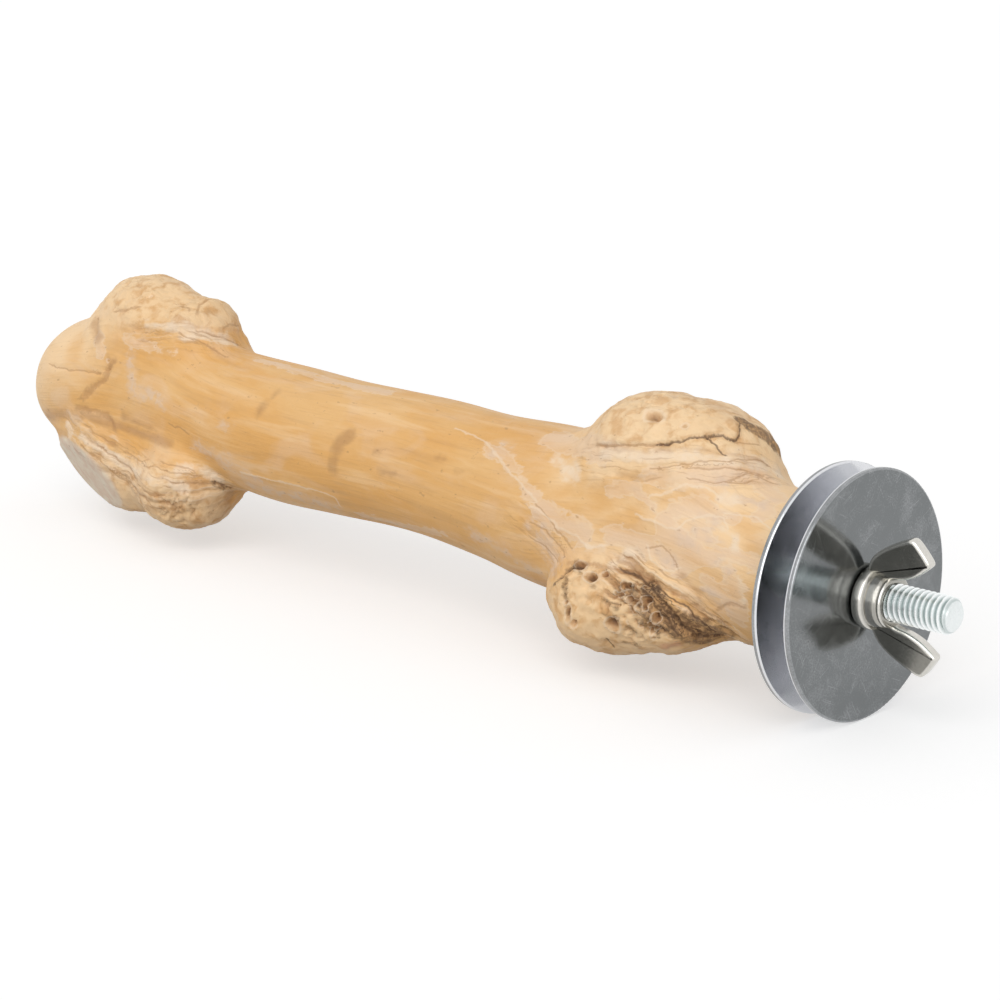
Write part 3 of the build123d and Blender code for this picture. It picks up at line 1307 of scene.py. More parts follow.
def near_strokes() -> tuple[Stroke, ...]:
    """Describes the colours round the clamp end and the near knots.

    Returns:
        The strokes.
    """
    return (
        # Painted light: this broad peach stroke lightens the clamp end.
        Stroke(Tint.PEACH, 30.0, ((0, 0), (24, 0))),
        Stroke(Tint.PALE, 1.2, ((39, 32), (31, 31), (24, 24), (19, 16), (16, 1), (14, -17))),
        Stroke(Tint.PALE, 1.1, ((51, 37), (48, 41), (44, 47))),
        Stroke(Tint.PALE, 0.7, ((46, 36), (44, 42), (46, 48))),
        Stroke(Tint.PALE, 0.9, ((16, 33), (14, 32))),
        Stroke(Tint.PALE, 0.9, ((32, 96), (30, 87), (27, 87))),
        Stroke(Tint.PALE, 0.7, ((38, 90), (35, 87))),
        Stroke(Tint.AMBER, 2.6, ((38, 59), (33, 44), (27, 39))),
        Stroke(Tint.AMBER, 2.4, ((35, 75), (31, 71), (29, 50))),
        Stroke(Tint.AMBER, 1.5, ((25, 47), (22, 41), (18, 38))),
        Stroke(Tint.AMBER, 1.6, ((11, 46), (8, 49), (7, 61))),
        Stroke(Tint.AMBER, 1.2, ((18, 78), (14, 88), (10, 95))),
        Stroke(Tint.AMBER, 1.2, ((39, 23), (37, 22))),
        Stroke(Tint.AMBER, 0.6, ((50, 28), (48, 33))),
        Stroke(Tint.GREY, 1.6, ((18, 58), (15, 50))),
        Stroke(Tint.GREY, 1.1, ((15, 65), (12, 64))),
        Stroke(Tint.GREY, 1.2, ((12, 74), (10, 80))),
        Stroke(Tint.GREY, 1.0, ((20, 66), (17, 70))),
        Stroke(Tint.GREY, 0.8, ((14, 98), (12, 108))),
        Stroke(Tint.GREY, 0.9, ((17, 21), (15, 6))),
        Stroke(Tint.GREY, 1.0, ((13, 27), (9, 24))),
        Stroke(Tint.GREY, 2.2, ((50, 87), (47, 101), (45, 108))),
        Stroke(Tint.GREY, 0.8, ((24, 82), (22, 86))),
        Stroke(Tint.FILM, 2.2, ((55, 18), (44, 27), (39, 33))),
        Stroke(Tint.FILM, 1.8, ((28, 37), (22, 31), (18, 18), (13, -2))),
        Stroke(Tint.FILM, 1.8, ((24, 61), (22, 70), (18, 72), (14, 74))),
        Stroke(Tint.FILM, 1.6, ((30, 91), (26, 83), (19, 85), (16, 75))),
        Stroke(Tint.FILM, 2.0, ((40, 84), (44, 79), (49, 75))),
        Stroke(Tint.FILM, 1.2, ((34, 80), (28, 76), (24, 84))),
        Stroke(Tint.FILM, 1.4, ((23, 50), (19, 45), (13, 47))),
        Stroke(Tint.FILM, 1.3, ((17, 62), (12, 70), (6, 72))),
        Stroke(Tint.FILM, 1.2, ((15, 92), (11, 99), (9, 118))),
        Stroke(Tint.FILM, 1.0, ((36, 50), (31, 46), (27, 52))),
        Stroke(Tint.PALE, 0.6, ((14, 52), (11, 57), (10, 66))),
        Stroke(Tint.PALE, 0.5, ((8, 84), (7, 96))),
        Stroke(Tint.FILM, 1.5, ((12, 10), (8, 19), (8, 35))),
        Stroke(Tint.FILM, 1.4, ((10, 81), (8, 91), (8, 109))),
        # The dark strokes on the near lower knot are partly dark bark, partly painted shade on its shaded
        # side.
        Stroke(Tint.DARK, 1.7, ((24, 104), (21, 112), (18, 121))),
        Stroke(Tint.DARK, 2.2, ((21, 117), (18, 127), (16, 137))),
        Stroke(Tint.DARK, 0.9, ((17, 119), (15, 133), (13, 136))),
        Stroke(Tint.DARK, 0.9, ((39, 100), (37, 100))),
        Stroke(Tint.DARK, 0.8, ((35, 102), (34, 103))),
        Stroke(Tint.DARK, 1.3, ((21, -8), (19, -12), (18, -19), (18, -29))),
        Stroke(Tint.DARK, 1.0, ((29, 104), (26, 108), (23, 114))),
        Stroke(Tint.DARK, 0.3, ((33, 100), (31, 102), (29, 107))),
        Stroke(Tint.DARK, 0.2, ((26, 117), (23, 120), (22, 126))),
        Stroke(Tint.DARK, 0.1, ((40, 106), (39, 112), (38, 118))),
        Stroke(Tint.DARK, 0.2, ((34, 106), (32, 110), (29, 113))),
        Stroke(Tint.DARK, 0.1, ((36, 126), (32, 130), (27, 132))),
        Stroke(Tint.DARK, 0.1, ((31, 116), (28, 120), (26, 124))),
        Stroke(Tint.UMBER, 0.6, ((19, 94), (16, 103), (16, 111))),
        Stroke(Tint.CREAM, 4.5, ((38, 115), (34, 116), (30, 123), (24, 121))),
        Stroke(Tint.CREAM, 4.0, ((36, 103), (31, 105), (27, 109))),
        Stroke(Tint.ROSE, 0.8, ((22, 134), (20, 134))),
    )


def stem_strokes() -> tuple[Stroke, ...]:
    """Describes the colours along the stem.

    Returns:
        The strokes.
    """
    return (
        Stroke(Tint.GREY, 1.3, ((126, 133), (114, 132), (104, 136))),
        Stroke(Tint.GREY, 0.8, ((64, 40), (62, 40))),
        Stroke(Tint.GREY, 0.7, ((131, 79), (128, 77))),
        Stroke(Tint.GREY, 0.9, ((67, 113), (58, 115), (51, 122))),
        Stroke(Tint.FILM, 1.1, ((66, 40), (60, 48), (55, 58), (51, 66))),
        Stroke(Tint.FILM, 0.9, ((132, 5), (115, 10), (97, 7))),
        Stroke(Tint.FILM, 0.8, ((98, 141), (87, 139), (76, 128))),
        Stroke(Tint.AMBER, 2.6, ((118, 74), (106, 80), (93, 80))),
        Stroke(Tint.AMBER, 2.6, ((98, 54), (85, 54), (75, 54))),
        Stroke(Tint.AMBER, 2.2, ((81, 78), (70, 77), (59, 75))),
        Stroke(Tint.AMBER, 5.0, ((118, 112), (95, 114), (68, 108))),
        Stroke(Tint.UMBER, 1.0, ((98, 62), (100, 70), (101, 80), (101, 92))),
        Stroke(Tint.UMBER, 1.1, ((100, 74), (101, 82))),
        Stroke(Tint.UMBER, 0.6, ((120, 40), (121, 50), (122, 60))),
        Stroke(Tint.UMBER, 0.2, ((71, 66), (69, 66))),
        Stroke(Tint.UMBER, 0.15, ((76, 60), (74, 60))),
        Stroke(Tint.UMBER, 0.2, ((91, 70), (90, 70))),
        Stroke(Tint.UMBER, 0.15, ((89, 86), (85, 84))),
    )


def far_strokes() -> tuple[Stroke, ...]:
    """Describes the colours round the far knots and the free end.

    Returns:
        The strokes.
    """
    return (
        Stroke(Tint.PEACH, 17.0, ((178, 0), (197, 0))),
        Stroke(Tint.GREY, 1.1, ((160, 45), (159, 61), (157, 74), (152, 76), (148, 78))),
        Stroke(Tint.GREY, 1.4, ((151, 18), (149, 12), (147, 5))),
        Stroke(Tint.GREY, 1.2, ((138, 104), (130, 110), (126, 117), (120, 125))),
        Stroke(Tint.PALE, 0.6, ((158, 26), (152, 24), (148, 17))),
        Stroke(Tint.PALE, 1.2, ((148, 21), (146, 11), (144, -6))),
        Stroke(Tint.PALE, 0.9, ((171, 119), (163, 122), (158, 128), (146, 123), (140, 130))),
        Stroke(Tint.PALE, 0.9, ((142, 121), (139, 125), (136, 137))),
        Stroke(Tint.PALE, 0.8, ((177, 115), (175, 121))),
        Stroke(Tint.FILM, 0.7, ((162, 40), (155, 38), (149, 35))),
        Stroke(Tint.FILM, 1.0, ((170, 42), (168, 52))),
        Stroke(Tint.AMBER, 1.2, ((164, 37), (157, 32), (150, 28))),
        Stroke(Tint.AMBER, 0.8, ((168, 91), (164, 84), (159, 81))),
        Stroke(Tint.AMBER, 1.0, ((156, 58), (150, 66))),
        Stroke(Tint.AMBER, 2.6, ((144, 52), (133, 60), (122, 69))),
        Stroke(Tint.AMBER, 2.2, ((178, 44), (177, 57))),
        Stroke(Tint.AMBER, 1.4, ((167, 16), (162, 17))),
        Stroke(Tint.UMBER, 1.0, ((187, 118), (177, 108), (172, 107))),
        Stroke(Tint.UMBER, 1.0, ((174, 31), (170, 42))),
        Stroke(Tint.UMBER, 0.8, ((166, 55), (165, 57))),
        Stroke(Tint.UMBER, 3.0, ((164, 127), (150, 130), (142, 133))),
        Stroke(Tint.UMBER, 1.0, ((144, 123), (140, 129))),
        # Painted shade: this umber stroke darkens the hollow above the split strands.
        Stroke(Tint.UMBER, 0.8, ((172, 104), (163, 108), (153, 110), (146, 110))),
        Stroke(Tint.UMBER, 0.4, ((160, 100), (152, 104))),
        Stroke(Tint.UMBER, 3.0, ((139, 134), (137, 146), (138, 154))),
        Stroke(Tint.DARK, 0.5, ((137, 137), (136, 147))),
        Stroke(Tint.CREAM, 5.0, ((165, 15), (157, 10), (148, 6))),
        Stroke(Tint.CREAM, 2.5, ((147, -8), (147, -11))),
        Stroke(Tint.CREAM, 3.2, ((144, 135), (140, 142), (137, 145))),
        Stroke(Tint.CREAM, 2.0, ((151, 123), (142, 127))),
    )


def back_strokes(count: int = 34, seed: int = 7) -> tuple[Stroke, ...]:
    """Scatters like colours over the back and the underside, which the photograph doesn't show.

    Args:
        count: how many strokes there are.
        seed: picks one scatter.

    Returns:
        The strokes.
    """
    draw = np.random.default_rng(seed)
    kinds = (Tint.FILM, Tint.AMBER, Tint.GREY, Tint.FILM, Tint.AMBER, Tint.PALE)
    strokes = []
    for number in range(count):
        along = draw.uniform(6, 188)
        around = draw.uniform(-175, -25)
        length = draw.uniform(6, 24)
        drift = draw.uniform(-12, 12)
        spots = ((along, around), (along + length / 2, around + drift), (along + length, around + drift / 2))
        strokes.append(Stroke(kinds[number % len(kinds)], draw.uniform(0.7, 2.2), spots))
    return tuple(strokes)


@dataclass
class BranchPerch:
    """The natural branch, as one solid of wood with its knots, cracks and bark film."""

    face_x: float = -1.05
    length: float = 198.0
    end_rounding: float = 14.0
    end_margin: float = 0.2
    core_height: float = 3.5
    core_radius: float = 12.0
    core_sides: int = 64
    voxel: float = 0.43
    plain_stem: tuple[float, float] = (-132.0, -66.0)
    plain_squeeze: float = 0.28
    back_start: float = 1.0
    back_squeeze: float = 0.45
    settling: int = 7
    stray: float = 0.4
    stray_size: float = 2.6
    grain_rise: float = 3.0
    grain_reach: float = 5.0
    grain_depth: float = 4.0
    stem_waves: Unevenness = Unevenness(0.30, 14.0, 2)
    knot_waves: Unevenness = Unevenness(0.55, 8.0, 2, 3.0)
    knot_bumps: Unevenness = Unevenness(0.26, 2.4, 3, 7.0)
    wrinkles: Unevenness = Unevenness(1.0, 2.4, 3, 11.0)
    wrinkle_width: float = 0.2
    full_rope: float = 0.6
    least_groove: float = 0.3
    cream_rise: float = 4.5
    saw_skin: float = 0.5
    stations: tuple[Station, ...] = field(default_factory=stem_stations)
    knots: tuple[Knot, ...] = field(
        default_factory=lambda: (near_upper_knot(), near_lower_knot(), far_upper_knot(), far_lower_knot())
    )
    pits: tuple[Pit, ...] = field(default_factory=lambda: hollows() + worm_holes())
    lips: tuple[Lip, ...] = field(default_factory=overhangs)
    burls: tuple[Burl, ...] = field(default_factory=wrinkled_patches)
    fibres: tuple[Fibres, ...] = field(default_factory=ropy_bands)
    lines: tuple[Line, ...] = field(
        default_factory=lambda: near_upper_lines() + near_lower_lines() + stem_lines() + far_lines()
    )
    strokes: tuple[Stroke, ...] = field(
        default_factory=lambda: near_strokes() + stem_strokes() + far_strokes() + back_strokes()
    )

    def along(self, x: Array, name: str) -> Array:
        """Reads a stem value along the branch, smoothly between its stations.

        Args:
            x: places along the branch.
            name: the station's value to read.

        Returns:
            The value at each place.
        """
        values = np.array([getattr(station, name) for station in self.stations])
        slopes = np.gradient(values)
        place = np.clip((self.face_x - x) / self.length, 0.0, 1.0) * (len(values) - 1)
        index = np.minimum(place.astype(int), len(values) - 2)
        t = place - index
        start = (1 + 2 * t) * (1 - t) ** 2 * values[index] + t * (1 - t) ** 2 * slopes[index]
        end = t * t * (3 - 2 * t) * values[index + 1] + t * t * (t - 1) * slopes[index + 1]
        return start + end

    def stem_distance(self, points: Array) -> Array:
        """Measures how far points lie outside the stem without its knots.

        Args:
            points: places in mm.

        Returns:
            Distances, negative inside.
        """
        x = points[:, 0]
        total = np.hypot(points[:, 1], points[:, 2] - self.along(x, "height")) - self.along(x, "radius")
        return smooth_cut(total, self.face_x - self.length - x, self.end_rounding)

    def distance(self, points: Array) -> Array:
        """Measures how far points lie outside the plain branch.

        Args:
            points: places in mm.

        Returns:
            Distances, negative inside.
        """
        total = self.stem_distance(points)
        for knot in self.knots:
            total = smooth_union(total, knot.distance(points), knot.root_blend)
        return smooth_cut(total, points[:, 0] - self.face_x, CUT_EDGE)

    def path(self, spots: tuple[Spot, ...]) -> Array:
        """Finds spots on the plain branch's surface.

        Args:
            spots: distances along the branch and angles round it.

        Returns:
            Their places in mm.
        """
        outermost, innermost, step = 34.0, 2.0, 0.1
        reaches = np.arange(outermost, innermost, -step)[:, None]
        places = []
        for along, around in spots:
            x = self.face_x - min(along, self.length - self.end_margin)
            turn = math.radians(around)
            axis = np.array([x, 0.0, float(self.along(np.array([x]), "height")[0])])
            ray = axis + reaches * np.array([0.0, -math.sin(turn), math.cos(turn)])
            places.append(ray[int(np.argmax(self.distance(ray) < 0))])
        return np.array(places)

    def slope(self, points: Array) -> Array:
        """Finds the way out of the wood at each point.

        Args:
            points: places in mm.

        Returns:
            The distance's slope along each axis.
        """
        step = 0.08
        here = self.distance(points)
        return np.stack([(self.distance(points + shift) - here) / step for shift in np.eye(3) * step], axis=1)

    def settle(self, points: Array, rounds: int) -> Array:
        """Draws rough points onto the plain branch's surface.

        Args:
            points: places in mm near the surface.
            rounds: how often they are drawn.

        Returns:
            The points on the surface.
        """
        least_slope = 0.25
        share = 0.9
        for _ in range(rounds):
            slope = self.slope(points)
            reach = self.distance(points) / np.maximum((slope * slope).sum(axis=1), least_slope)
            points = points - share * reach[:, None] * slope
        return points

    def squeezed(self, points: Array, back: bool = False) -> Array:
        """Shrinks the plain stem and the back for a while, so that the skin has fewer faces there.

        Args:
            points: places in mm.
            back: whether to undo it.

        Returns:
            The moved places.
        """
        far, near = self.plain_stem
        shorter = (near - far) * self.plain_squeeze
        out = 100.0
        along = ((far - out, far, near, near + out), (near - shorter - out, near - shorter, near, near + out))
        start = self.back_start
        aside = ((start - out, start, start + out), (start - out, start, start + out * self.back_squeeze))
        moved = points.copy()
        for axis, (real, short) in enumerate((along, aside)):
            moved[:, axis] = np.interp(points[:, axis], *((short, real) if back else (real, short)))
        return moved

    def rough_mesh(self) -> bpy.types.Mesh:
        """Joins a bar and swellings into one skin, fine on the knots and longer-faced on the stem.

        Returns:
            The skin's mesh.
        """
        rough = bmesh.new()
        middle = Matrix.Translation(((self.face_x - self.length / 2) * MM, 0, self.core_height * MM))
        lying = middle @ Matrix.Rotation(math.pi / 2, 4, "Y")
        bmesh.ops.create_cone(
            rough,
            cap_ends=True,
            segments=self.core_sides,
            radius1=self.core_radius * MM,
            radius2=self.core_radius * MM,
            depth=self.length * MM,
            matrix=lying,
        )
        for lump in (lump for knot in self.knots for lump in knot.lumps):
            place = Matrix.Translation(Vector(lump.middle) * MM) @ Matrix.Diagonal((*lump.reach, 1.0))
            bmesh.ops.create_icosphere(rough, subdivisions=4, radius=MM, matrix=place)
        places = np.array([vertex.co for vertex in rough.verts]) / MM
        for vertex, place in zip(rough.verts, self.squeezed(places)):
            vertex.co = Vector(place) * MM
        mesh = finished_mesh(rough, "rough_branch")
        holder = add_object("rough_branch", mesh)
        skin = holder.modifiers.new("skin", "REMESH")
        skin.mode = "VOXEL"
        skin.voxel_size = self.voxel * MM
        bpy.context.view_layer.update()
        evaluated = holder.evaluated_get(bpy.context.evaluated_depsgraph_get())
        result = bpy.data.meshes.new_from_object(evaluated)
        bpy.data.objects.remove(holder)
        bpy.data.meshes.remove(mesh)
        return result

    def strayed(self, points: Array) -> Array:
        """Shifts points a little, so that cracks and pits wander and look torn.

        Args:
            points: places in mm.

        Returns:
            The shifted places.
        """
        shifts = [self.stray * speckle(points, self.stray_size, 3, 17.0 + 9 * axis) for axis in range(3)]
        return points + np.stack(shifts, axis=1)

    def grain(self, points: Array) -> Array:
        """Works out a number that stays the same along each strand of the grain, which flows round the knots.

        Args:
            points: places on the plain branch.

        Returns:
            The grain's coordinate in mm.
        """
        turn = np.arctan2(points[:, 1], points[:, 2] - self.along(points[:, 0], "height"))
        flow = self.core_radius * np.abs(turn)
        for knot in self.knots:
            apart = np.maximum(knot.distance(points), -self.grain_depth)
            flow += self.grain_rise * np.exp(-apart / self.grain_reach)
        return flow

    def flat_share(self, points: Array) -> Array:
        """Says where the wood is cut flat and keeps no unevenness.

        Args:
            points: places on the plain branch.

        Returns:
            Shares from 0 to 1.
        """
        flat = ramp(points[:, 0], self.face_x - CUT_EDGE, self.face_x - 0.2)
        for cut in (knot.cut for knot in self.knots if knot.cut is not None):
            flat = np.maximum(flat, 1 - ramp(np.abs(cut.distance(points)), 0.1, 0.6))
        return flat

    def carve(self, points: Array, normals: Array) -> dict[str, Array]:
        """Adds the wood's unevenness, strands, overhangs, pits and cracks.

        Args:
            points: places on the plain branch.
            normals: the way out of the wood at each place.

        Returns:
            Fields by name: how far each place moves outwards, and what the wood's material reads.
        """
        count = len(points)
        strayed = self.strayed(points)
        knotty = np.zeros(count)
        for knot in self.knots:
            knotty = np.maximum(knotty, 1 - ramp(knot.distance(points), -0.5, 4.0))
        height = self.stem_waves.at(points * np.array([0.5, 1.0, 1.0]))
        height += knotty * (self.knot_waves.at(points) + self.knot_bumps.at(points))

        wrinkle = ramp(self.wrinkle_width - np.abs(self.wrinkles.at(points)), 0.0, self.wrinkle_width)
        for burl in self.burls:
            away = np.linalg.norm(points - self.path((burl.spot,)), axis=1)
            height -= burl.depth * wrinkle * (1 - ramp(away, 0.4 * burl.reach, burl.reach))

        fold = np.zeros(count)
        rope = np.zeros(count)
        across = np.zeros(count)
        for band in self.fibres:
            apart, offset = follow(strayed, self.path(band.spots), band.width + 4, normals)
            share = ramp(band.width - apart, -1.5, 2.0)
            drawn = share * min(1.0, band.height / self.full_rope)
            strands = np.stack([offset, 0.1 * points[:, 0], 0.1 * points[:, 2]], axis=1)
            fold += band.height * share * speckle(strands, 1.2, 3, 5.0)
            stronger = drawn > rope
            rope[stronger] = drawn[stronger]
            across[stronger] = offset[stronger]
        height += fold
        for lip in self.lips:
            apart, inward = follow(strayed, self.path(lip.spots), lip.fade * 4, normals)
            beyond = ramp(apart - np.abs(inward), 0.0, 2.5)
            height += lip.height * ramp(inward, -0.15, 0.35) * np.exp(-apart / lip.fade) * (1 - beyond)

        hollow = np.full(count, NO_PIT)
        for pit in self.pits:
            reach = pit.reach * np.array([pit.stretch, 1.0, 1.0])
            away = np.linalg.norm((strayed - self.path((pit.spot,))) / reach, axis=1)
            height -= pit.depth * (1 - ramp(away, 0.35, 1.0))
            height += pit.rim * np.exp(-(((away - 1.15) / 0.3) ** 2))
            hollow = np.minimum(hollow, away + 0.7 * (1 - ramp(np.full(count, pit.depth), 0.3, 1.0)))

        fields = {"fold": fold, "rope": rope, "across": across, "grain": self.grain(points), "hollow": hollow}
        for mark in (Mark.CRACK, Mark.BROWN_SHADED_GROOVE, Mark.EDGE):
            fields[mark.value] = np.full(count, NO_LINE)
            fields[f"{mark.value}_near"] = np.full(count, NO_LINE)
        for line in self.lines:
            apart, offset = follow(strayed, self.path(line.spots), 7 * line.width + 1, normals)
            height -= line.depth * np.exp(-((apart / max(line.width, self.least_groove)) ** 2))
            if line.mark is not Mark.PLAIN:
                near = np.minimum(apart / line.width, NO_LINE)
                closer = near < fields[f"{line.mark.value}_near"]
                fields[f"{line.mark.value}_near"][closer] = near[closer]
                fields[line.mark.value][closer] = np.clip(offset / line.width, -NO_LINE, NO_LINE)[closer]
        fields["height"] = height * (1 - self.flat_share(points))
        return fields

    def tints(self, points: Array) -> dict[str, Array]:
        """Works out how deep each point lies inside each tint.

        Args:
            points: places on the plain branch.

        Returns:
            Depths in mm for each attribute's name.
        """
        fields = {tint.value: np.full(len(points), OUTSIDE) for tint in Tint}
        for stroke in self.strokes:
            apart, _ = follow(points, self.path(stroke.spots), stroke.width - OUTSIDE)
            fields[stroke.tint.value] = np.maximum(fields[stroke.tint.value], stroke.width - apart)
        raised = self.stem_distance(points)
        fields[Tint.CREAM.value] = np.maximum(fields[Tint.CREAM.value], raised - self.cream_rise)
        for cut in (knot.cut for knot in self.knots if knot.cut is not None):
            depth = self.saw_skin - np.abs(cut.distance(points))
            fields[Tint.SAWN.value] = np.maximum(fields[Tint.SAWN.value], depth)
        return {name: np.clip(values, OUTSIDE, INSIDE) for name, values in fields.items()}

    def build(self, finish: bpy.types.Material) -> bpy.types.Object:
        """Makes the branch.

        Args:
            finish: the wood's material.

        Returns:
            The branch's object.
        """
        mesh = self.rough_mesh()
        mesh.name = "natural_branch"
        flat = np.empty(len(mesh.vertices) * 3, np.float32)
        mesh.vertices.foreach_get("co", flat)
        rough = self.squeezed(flat.reshape(-1, 3).astype(float) / MM, back=True)
        points = self.settle(rough, self.settling)
        slope = self.slope(points)
        normals = slope / np.maximum(np.linalg.norm(slope, axis=1), TINY)[:, None]
        fields = {**self.carve(points, normals), **self.tints(points)}
        shaped = points + normals * fields["height"][:, None]
        mesh.vertices.foreach_set("co", (shaped * MM).astype(np.float32).ravel())
        for name, values in fields.items():
            attribute = mesh.attributes.new(name, "FLOAT", "POINT")
            attribute.data.foreach_set("value", values.astype(np.float32))
        mesh.shade_smooth()
        mesh.update()
        mesh.materials.clear()
        mesh.materials.append(finish)
        branch = add_object("natural_branch", mesh)
        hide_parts("branch")
        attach(branch, Body.PERCH.value)
        LOG.info("natural_branch: %d vertices", len(mesh.vertices))
        return branch


def smooth_path(corners: tuple[tuple[float, float], ...], steps: int) -> list[tuple[float, float]]:
    """Draws a smooth path through flat points.

    Args:
        corners: the points to pass through.
        steps: how many steps lie between two of them.

    Returns:
        The path's points.
    """
    ends = np.array(corners)
    guide = np.vstack([2 * ends[0] - ends[1], ends, 2 * ends[-1] - ends[-2]])
    path = []
    for before, start, end, after in zip(guide, guide[1:], guide[2:], guide[3:]):
        for t in np.linspace(0.0, 1.0, steps, endpoint=False):
            bend = (2 * before - 5 * start + 4 * end - after) * t**2
            twist = (3 * (start - end) + after - before) * t**3
            spot = start + 0.5 * ((end - before) * t + bend + twist)
            path.append((float(spot[0]), float(spot[1])))
    path.append((float(ends[-1][0]), float(ends[-1][1])))
    return path


@dataclass
class WingNut:
    """The nickelled wing nut: a turned hub with a collar and two pressed wings."""

    seat_x: float = 6.05
    bore: float = 3.05
    turn: float = 9.0
    thickness: float = 1.9
    edge_round: float = 0.45
    edge_steps: int = 4
    side_steps: int = 4
    tip_steps: int = 3
    hub_sides: int = 72
    many_sided: int = 20
    sharp_angle: float = 50.0
    sorted_along: Point = (1.0, 0.618, 0.317)
    blade_inset: float = 0.2
    # Painted highlights: the hub is lighter than the wing faces by hub_shine, and brightest in the hub_bright
    # bands.
    hub_shine: float = 0.3
    hub_bright: tuple[tuple[float, float], ...] = ((1.2, 2.0), (2.5, 3.0), (4.5, 4.9))
    hub: tuple[tuple[float, float], ...] = (
        (0.0, 4.1), (0.08, 4.6), (0.35, 4.95), (0.9, 5.0), (1.7, 4.98), (1.95, 4.85),
        (2.05, 4.45), (2.2, 4.3), (2.4, 4.4), (2.6, 4.45), (3.7, 4.3), (4.1, 4.2),
        (4.25, 4.0), (4.4, 4.05), (4.6, 4.12), (4.85, 4.05), (5.0, 3.8),
    )
    back: tuple[tuple[float, float], ...] = (
        (0.6, 3.8), (0.8, 5.2), (1.7, 7.0), (3.2, 8.4), (5.0, 9.5), (7.0, 10.5), (8.7, 11.25),
    )
    tip: tuple[tuple[float, float], ...] = ((9.5, 11.3), (10.2, 10.8), (11.5, 9.2), (12.3, 8.0), (12.35, 7.4))
    front: tuple[tuple[float, float], ...] = ((11.7, 6.8), (9.8, 5.4), (7.4, 4.4), (5.4, 4.0), (4.4, 3.5))

    def add_hub(self, form: bmesh.types.BMesh) -> list[bmesh.types.BMVert]:
        """Turns the hub.

        Args:
            form: the mesh to add to.

        Returns:
            Its vertices.
        """
        ring = [(0.0, self.bore), *self.hub, (self.hub[-1][0], self.bore)]
        corners = [form.verts.new(((self.seat_x + ahead) * MM, 0.0, radius * MM)) for ahead, radius in ring]
        edges = [form.edges.new(pair) for pair in zip(corners, corners[1:] + corners[:1])]
        bmesh.ops.spin(
            form,
            geom=corners + edges,
            cent=(0, 0, 0),
            axis=(1, 0, 0),
            angle=math.tau,
            steps=self.hub_sides,
            use_merge=True,
        )
        return list(form.verts)

    def add_wing(self, form: bmesh.types.BMesh, side: float) -> list[bmesh.types.BMVert]:
        """Presses one wing.

        Args:
            form: the mesh to add to.
            side: degrees that the wing is turned about the bolt.

        Returns:
            The vertices of its rounded edges.
        """
        outline = smooth_path(self.back, self.side_steps) + smooth_path(self.tip, self.tip_steps)
        outline += smooth_path(self.front, self.side_steps)
        before = set(form.verts)
        low = -self.thickness / 2 * MM
        places = [((self.seat_x + ahead) * MM, low, radius * MM) for ahead, radius in outline]
        corners = [form.verts.new(place) for place in places]
        sheet = form.faces.new(corners)
        grown = bmesh.ops.extrude_face_region(form, geom=[sheet])
        lifted = [item for item in grown["geom"] if isinstance(item, bmesh.types.BMVert)]
        bmesh.ops.translate(form, verts=lifted, vec=(0.0, self.thickness * MM, 0.0))
        raised = [item for item in grown["geom"] if isinstance(item, bmesh.types.BMFace)]
        rims = [edge for face in raised for edge in face.edges]
        for vertex in corners:
            rims += [edge for edge in vertex.link_edges if edge.other_vert(vertex) in corners]
        bmesh.ops.bevel(
            form,
            geom=list(dict.fromkeys(rims)),  # each edge once
            offset=self.edge_round * MM,
            segments=self.edge_steps,
            profile=0.5,
            affect="EDGES",
            material=-1,
        )
        large = [face for face in form.faces if len(face.verts) > self.many_sided]
        blades = [face for face in large if face.verts[0] not in before]
        bmesh.ops.inset_region(form, faces=blades, thickness=self.blade_inset * MM)
        inner = {vertex for face in blades for vertex in face.verts}
        wing = [vertex for vertex in form.verts if vertex not in before]
        turn = Matrix.Rotation(math.radians(self.turn + side), 3, "X")
        bmesh.ops.rotate(form, verts=wing, cent=(0, 0, 0), matrix=turn)
        return [vertex for vertex in wing if vertex not in inner]

    def build(self, finish: bpy.types.Material) -> bpy.types.Object:
        """Makes the wing nut.

        Args:
            finish: the nickel.

        Returns:
            The nut's object.
        """
        form = bmesh.new()
        # The edge layer carries painted highlights on the hub's bands and the wings' rounded rims.
        bright = form.verts.layers.float.new("edge")
        for vertex in self.add_hub(form):
            ahead = vertex.co.x / MM - self.seat_x
            shiny = any(start <= ahead <= end for start, end in self.hub_bright)
            vertex[bright] = 1.0 if shiny else self.hub_shine
        for side in (0.0, 180.0):
            for vertex in self.add_wing(form, side):
                vertex[bright] = 1.0
        bmesh.ops.recalc_face_normals(form, faces=form.faces)
        # The spin leaves the hub's faces in another order each run, so all are sorted by place.
        slant = Vector(self.sorted_along)
        form.verts.sort(key=lambda vertex: vertex.co.dot(slant))
        form.faces.sort(key=lambda face: face.calc_center_median().dot(slant))
        mesh = finished_mesh(form, "pressed_wing_nut")
        mesh.shade_smooth()
        mesh.set_sharp_from_angle(angle=math.radians(self.sharp_angle))
        mesh.materials.append(finish)
        nut = add_object("pressed_wing_nut", mesh)
        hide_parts("wing_nut")
        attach(nut, Body.NUT.value)
        LOG.info("pressed_wing_nut: %d vertices", len(mesh.vertices))
        return nut


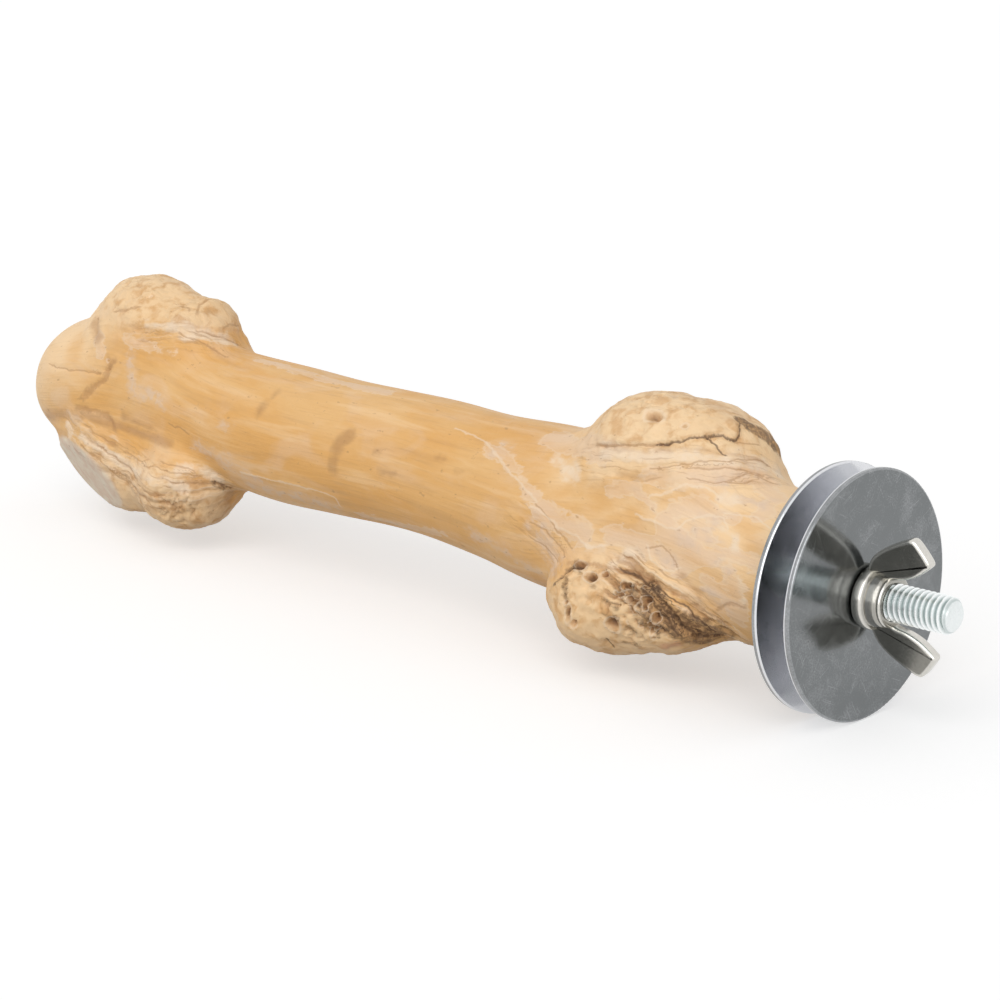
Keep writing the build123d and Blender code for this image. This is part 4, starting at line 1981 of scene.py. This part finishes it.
@dataclass
class ClampHardware:
    """The bolt and discs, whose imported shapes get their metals, and the wing nut."""

    nodes: dict[str, bpy.types.Object]
    disc: DiscFinish = DiscFinish("disc_steel", srgb(119, 122, 123), srgb(224, 225, 228), 0.15, 0.15)
    zinc: BoltFinish = BoltFinish("bright_zinc", srgb(196, 205, 204), srgb(250, 253, 253), 0.24, 0.1)
    nickel: NutFinish = NutFinish("bright_nickel", srgb(140, 138, 131), srgb(226, 223, 216), 0.17, 0.15)

    def build(self) -> None:
        """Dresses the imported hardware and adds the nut."""
        scratches = scratch_group()
        disc = self.disc.build(scratches)
        finishes = {"inner_disc": disc, "outer_disc": disc, "hanger_bolt": self.zinc.build(scratches)}
        for name, material in finishes.items():
            for slot in self.nodes[name].material_slots:
                slot.material = material
            LOG.info("%s: %s", name, material.name)
        WingNut().build(self.nickel.build(scratches))


@dataclass
class Studio:
    """A white floor, soft light and the camera of the photograph."""

    floor_z: float = -20.1
    floor_half: float = 5.0
    floor_shade: Colour = (0.45, 0.45, 0.45)
    floor_seen: Colour = (0.70, 0.70, 0.70)
    floor_glow: float = 0.44
    floor_roughness: float = 0.9
    camera_place: Point = (230.71, -315.42, 113.72)
    camera_azimuth: float = 43.862
    camera_elevation: float = 14.419
    lens: float = 93.6
    sensor: float = 36.0
    nearest: float = 0.01
    sky: float = 0.60
    sun: float = 1.45
    sun_softness: float = 70.0
    sun_from: Point = (0.35, -0.8, 0.5)

    def floor(self) -> bpy.types.Object:
        """Makes the floor.

        Returns:
            The floor's object.
        """
        form = bmesh.new()
        place = Matrix.Translation((0, 0, self.floor_z * MM))
        bmesh.ops.create_grid(form, x_segments=2, y_segments=2, size=self.floor_half, matrix=place)
        mesh = finished_mesh(form, "floor")
        material, graph, shader = new_material("floor_paper")
        seen = graph.seen()
        graph.feed(shader.inputs["Base Color"], graph.blend(seen, self.floor_shade, self.floor_seen))
        shader.inputs["Emission Color"].default_value = (1.0, 1.0, 1.0, 1.0)
        graph.feed(shader.inputs["Emission Strength"], graph.math("MULTIPLY", seen, self.floor_glow))
        shader.inputs["Roughness"].default_value = self.floor_roughness
        shader.inputs["Specular IOR Level"].default_value = 0.0
        mesh.materials.append(material)
        floor = add_object("floor", mesh)
        return floor

    def light(self) -> None:
        """Adds the white surroundings and a broad soft lamp."""
        world = bpy.data.worlds.new("white_room")
        bpy.context.scene.world = world
        world.use_nodes = True
        graph = Graph(world.node_tree)
        background = world.node_tree.nodes["Background"]
        graph.feed(background.inputs["Strength"], graph.span(graph.seen(), 0.0, 1.0, self.sky, 1.0))
        background.inputs["Color"].default_value = (1.0, 1.0, 1.0, 1.0)
        lamp = bpy.data.lights.new("broad_lamp", "SUN")
        lamp.energy = self.sun
        lamp.angle = math.radians(self.sun_softness)
        sun = add_object("broad_lamp", lamp)
        sun.matrix_world = Vector(self.sun_from).to_track_quat("Z", "Y").to_matrix().to_4x4()

    def camera(self) -> None:
        """Adds the camera at the photograph's viewpoint."""
        lens = bpy.data.cameras.new("photo_view")
        lens.lens = self.lens
        lens.sensor_width = self.sensor
        lens.clip_start = self.nearest
        camera = add_object("photo_view", lens)
        turn = Matrix.Rotation(math.radians(self.camera_azimuth), 4, "Z")
        tilt = Matrix.Rotation(math.radians(90 - self.camera_elevation), 4, "X")
        camera.matrix_world = Matrix.Translation(Vector(self.camera_place) * MM) @ turn @ tilt
        bpy.context.scene.camera = camera

    def build(self) -> None:
        """Sets up the floor, the light and the camera."""
        self.floor()
        self.light()
        self.camera()
        bpy.context.scene.view_settings.view_transform = "Standard"


def main() -> None:
    """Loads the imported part, dresses it and sets up the studio."""
    logging.basicConfig(level=logging.INFO, format="%(name)s: %(message)s")
    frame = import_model()
    BranchPerch().build(WoodFinish().build())
    ClampHardware(frame["nodes"]).build()
    Studio().build()
    bpy.context.view_layer.update()


if __name__ == "__main__":
    main()
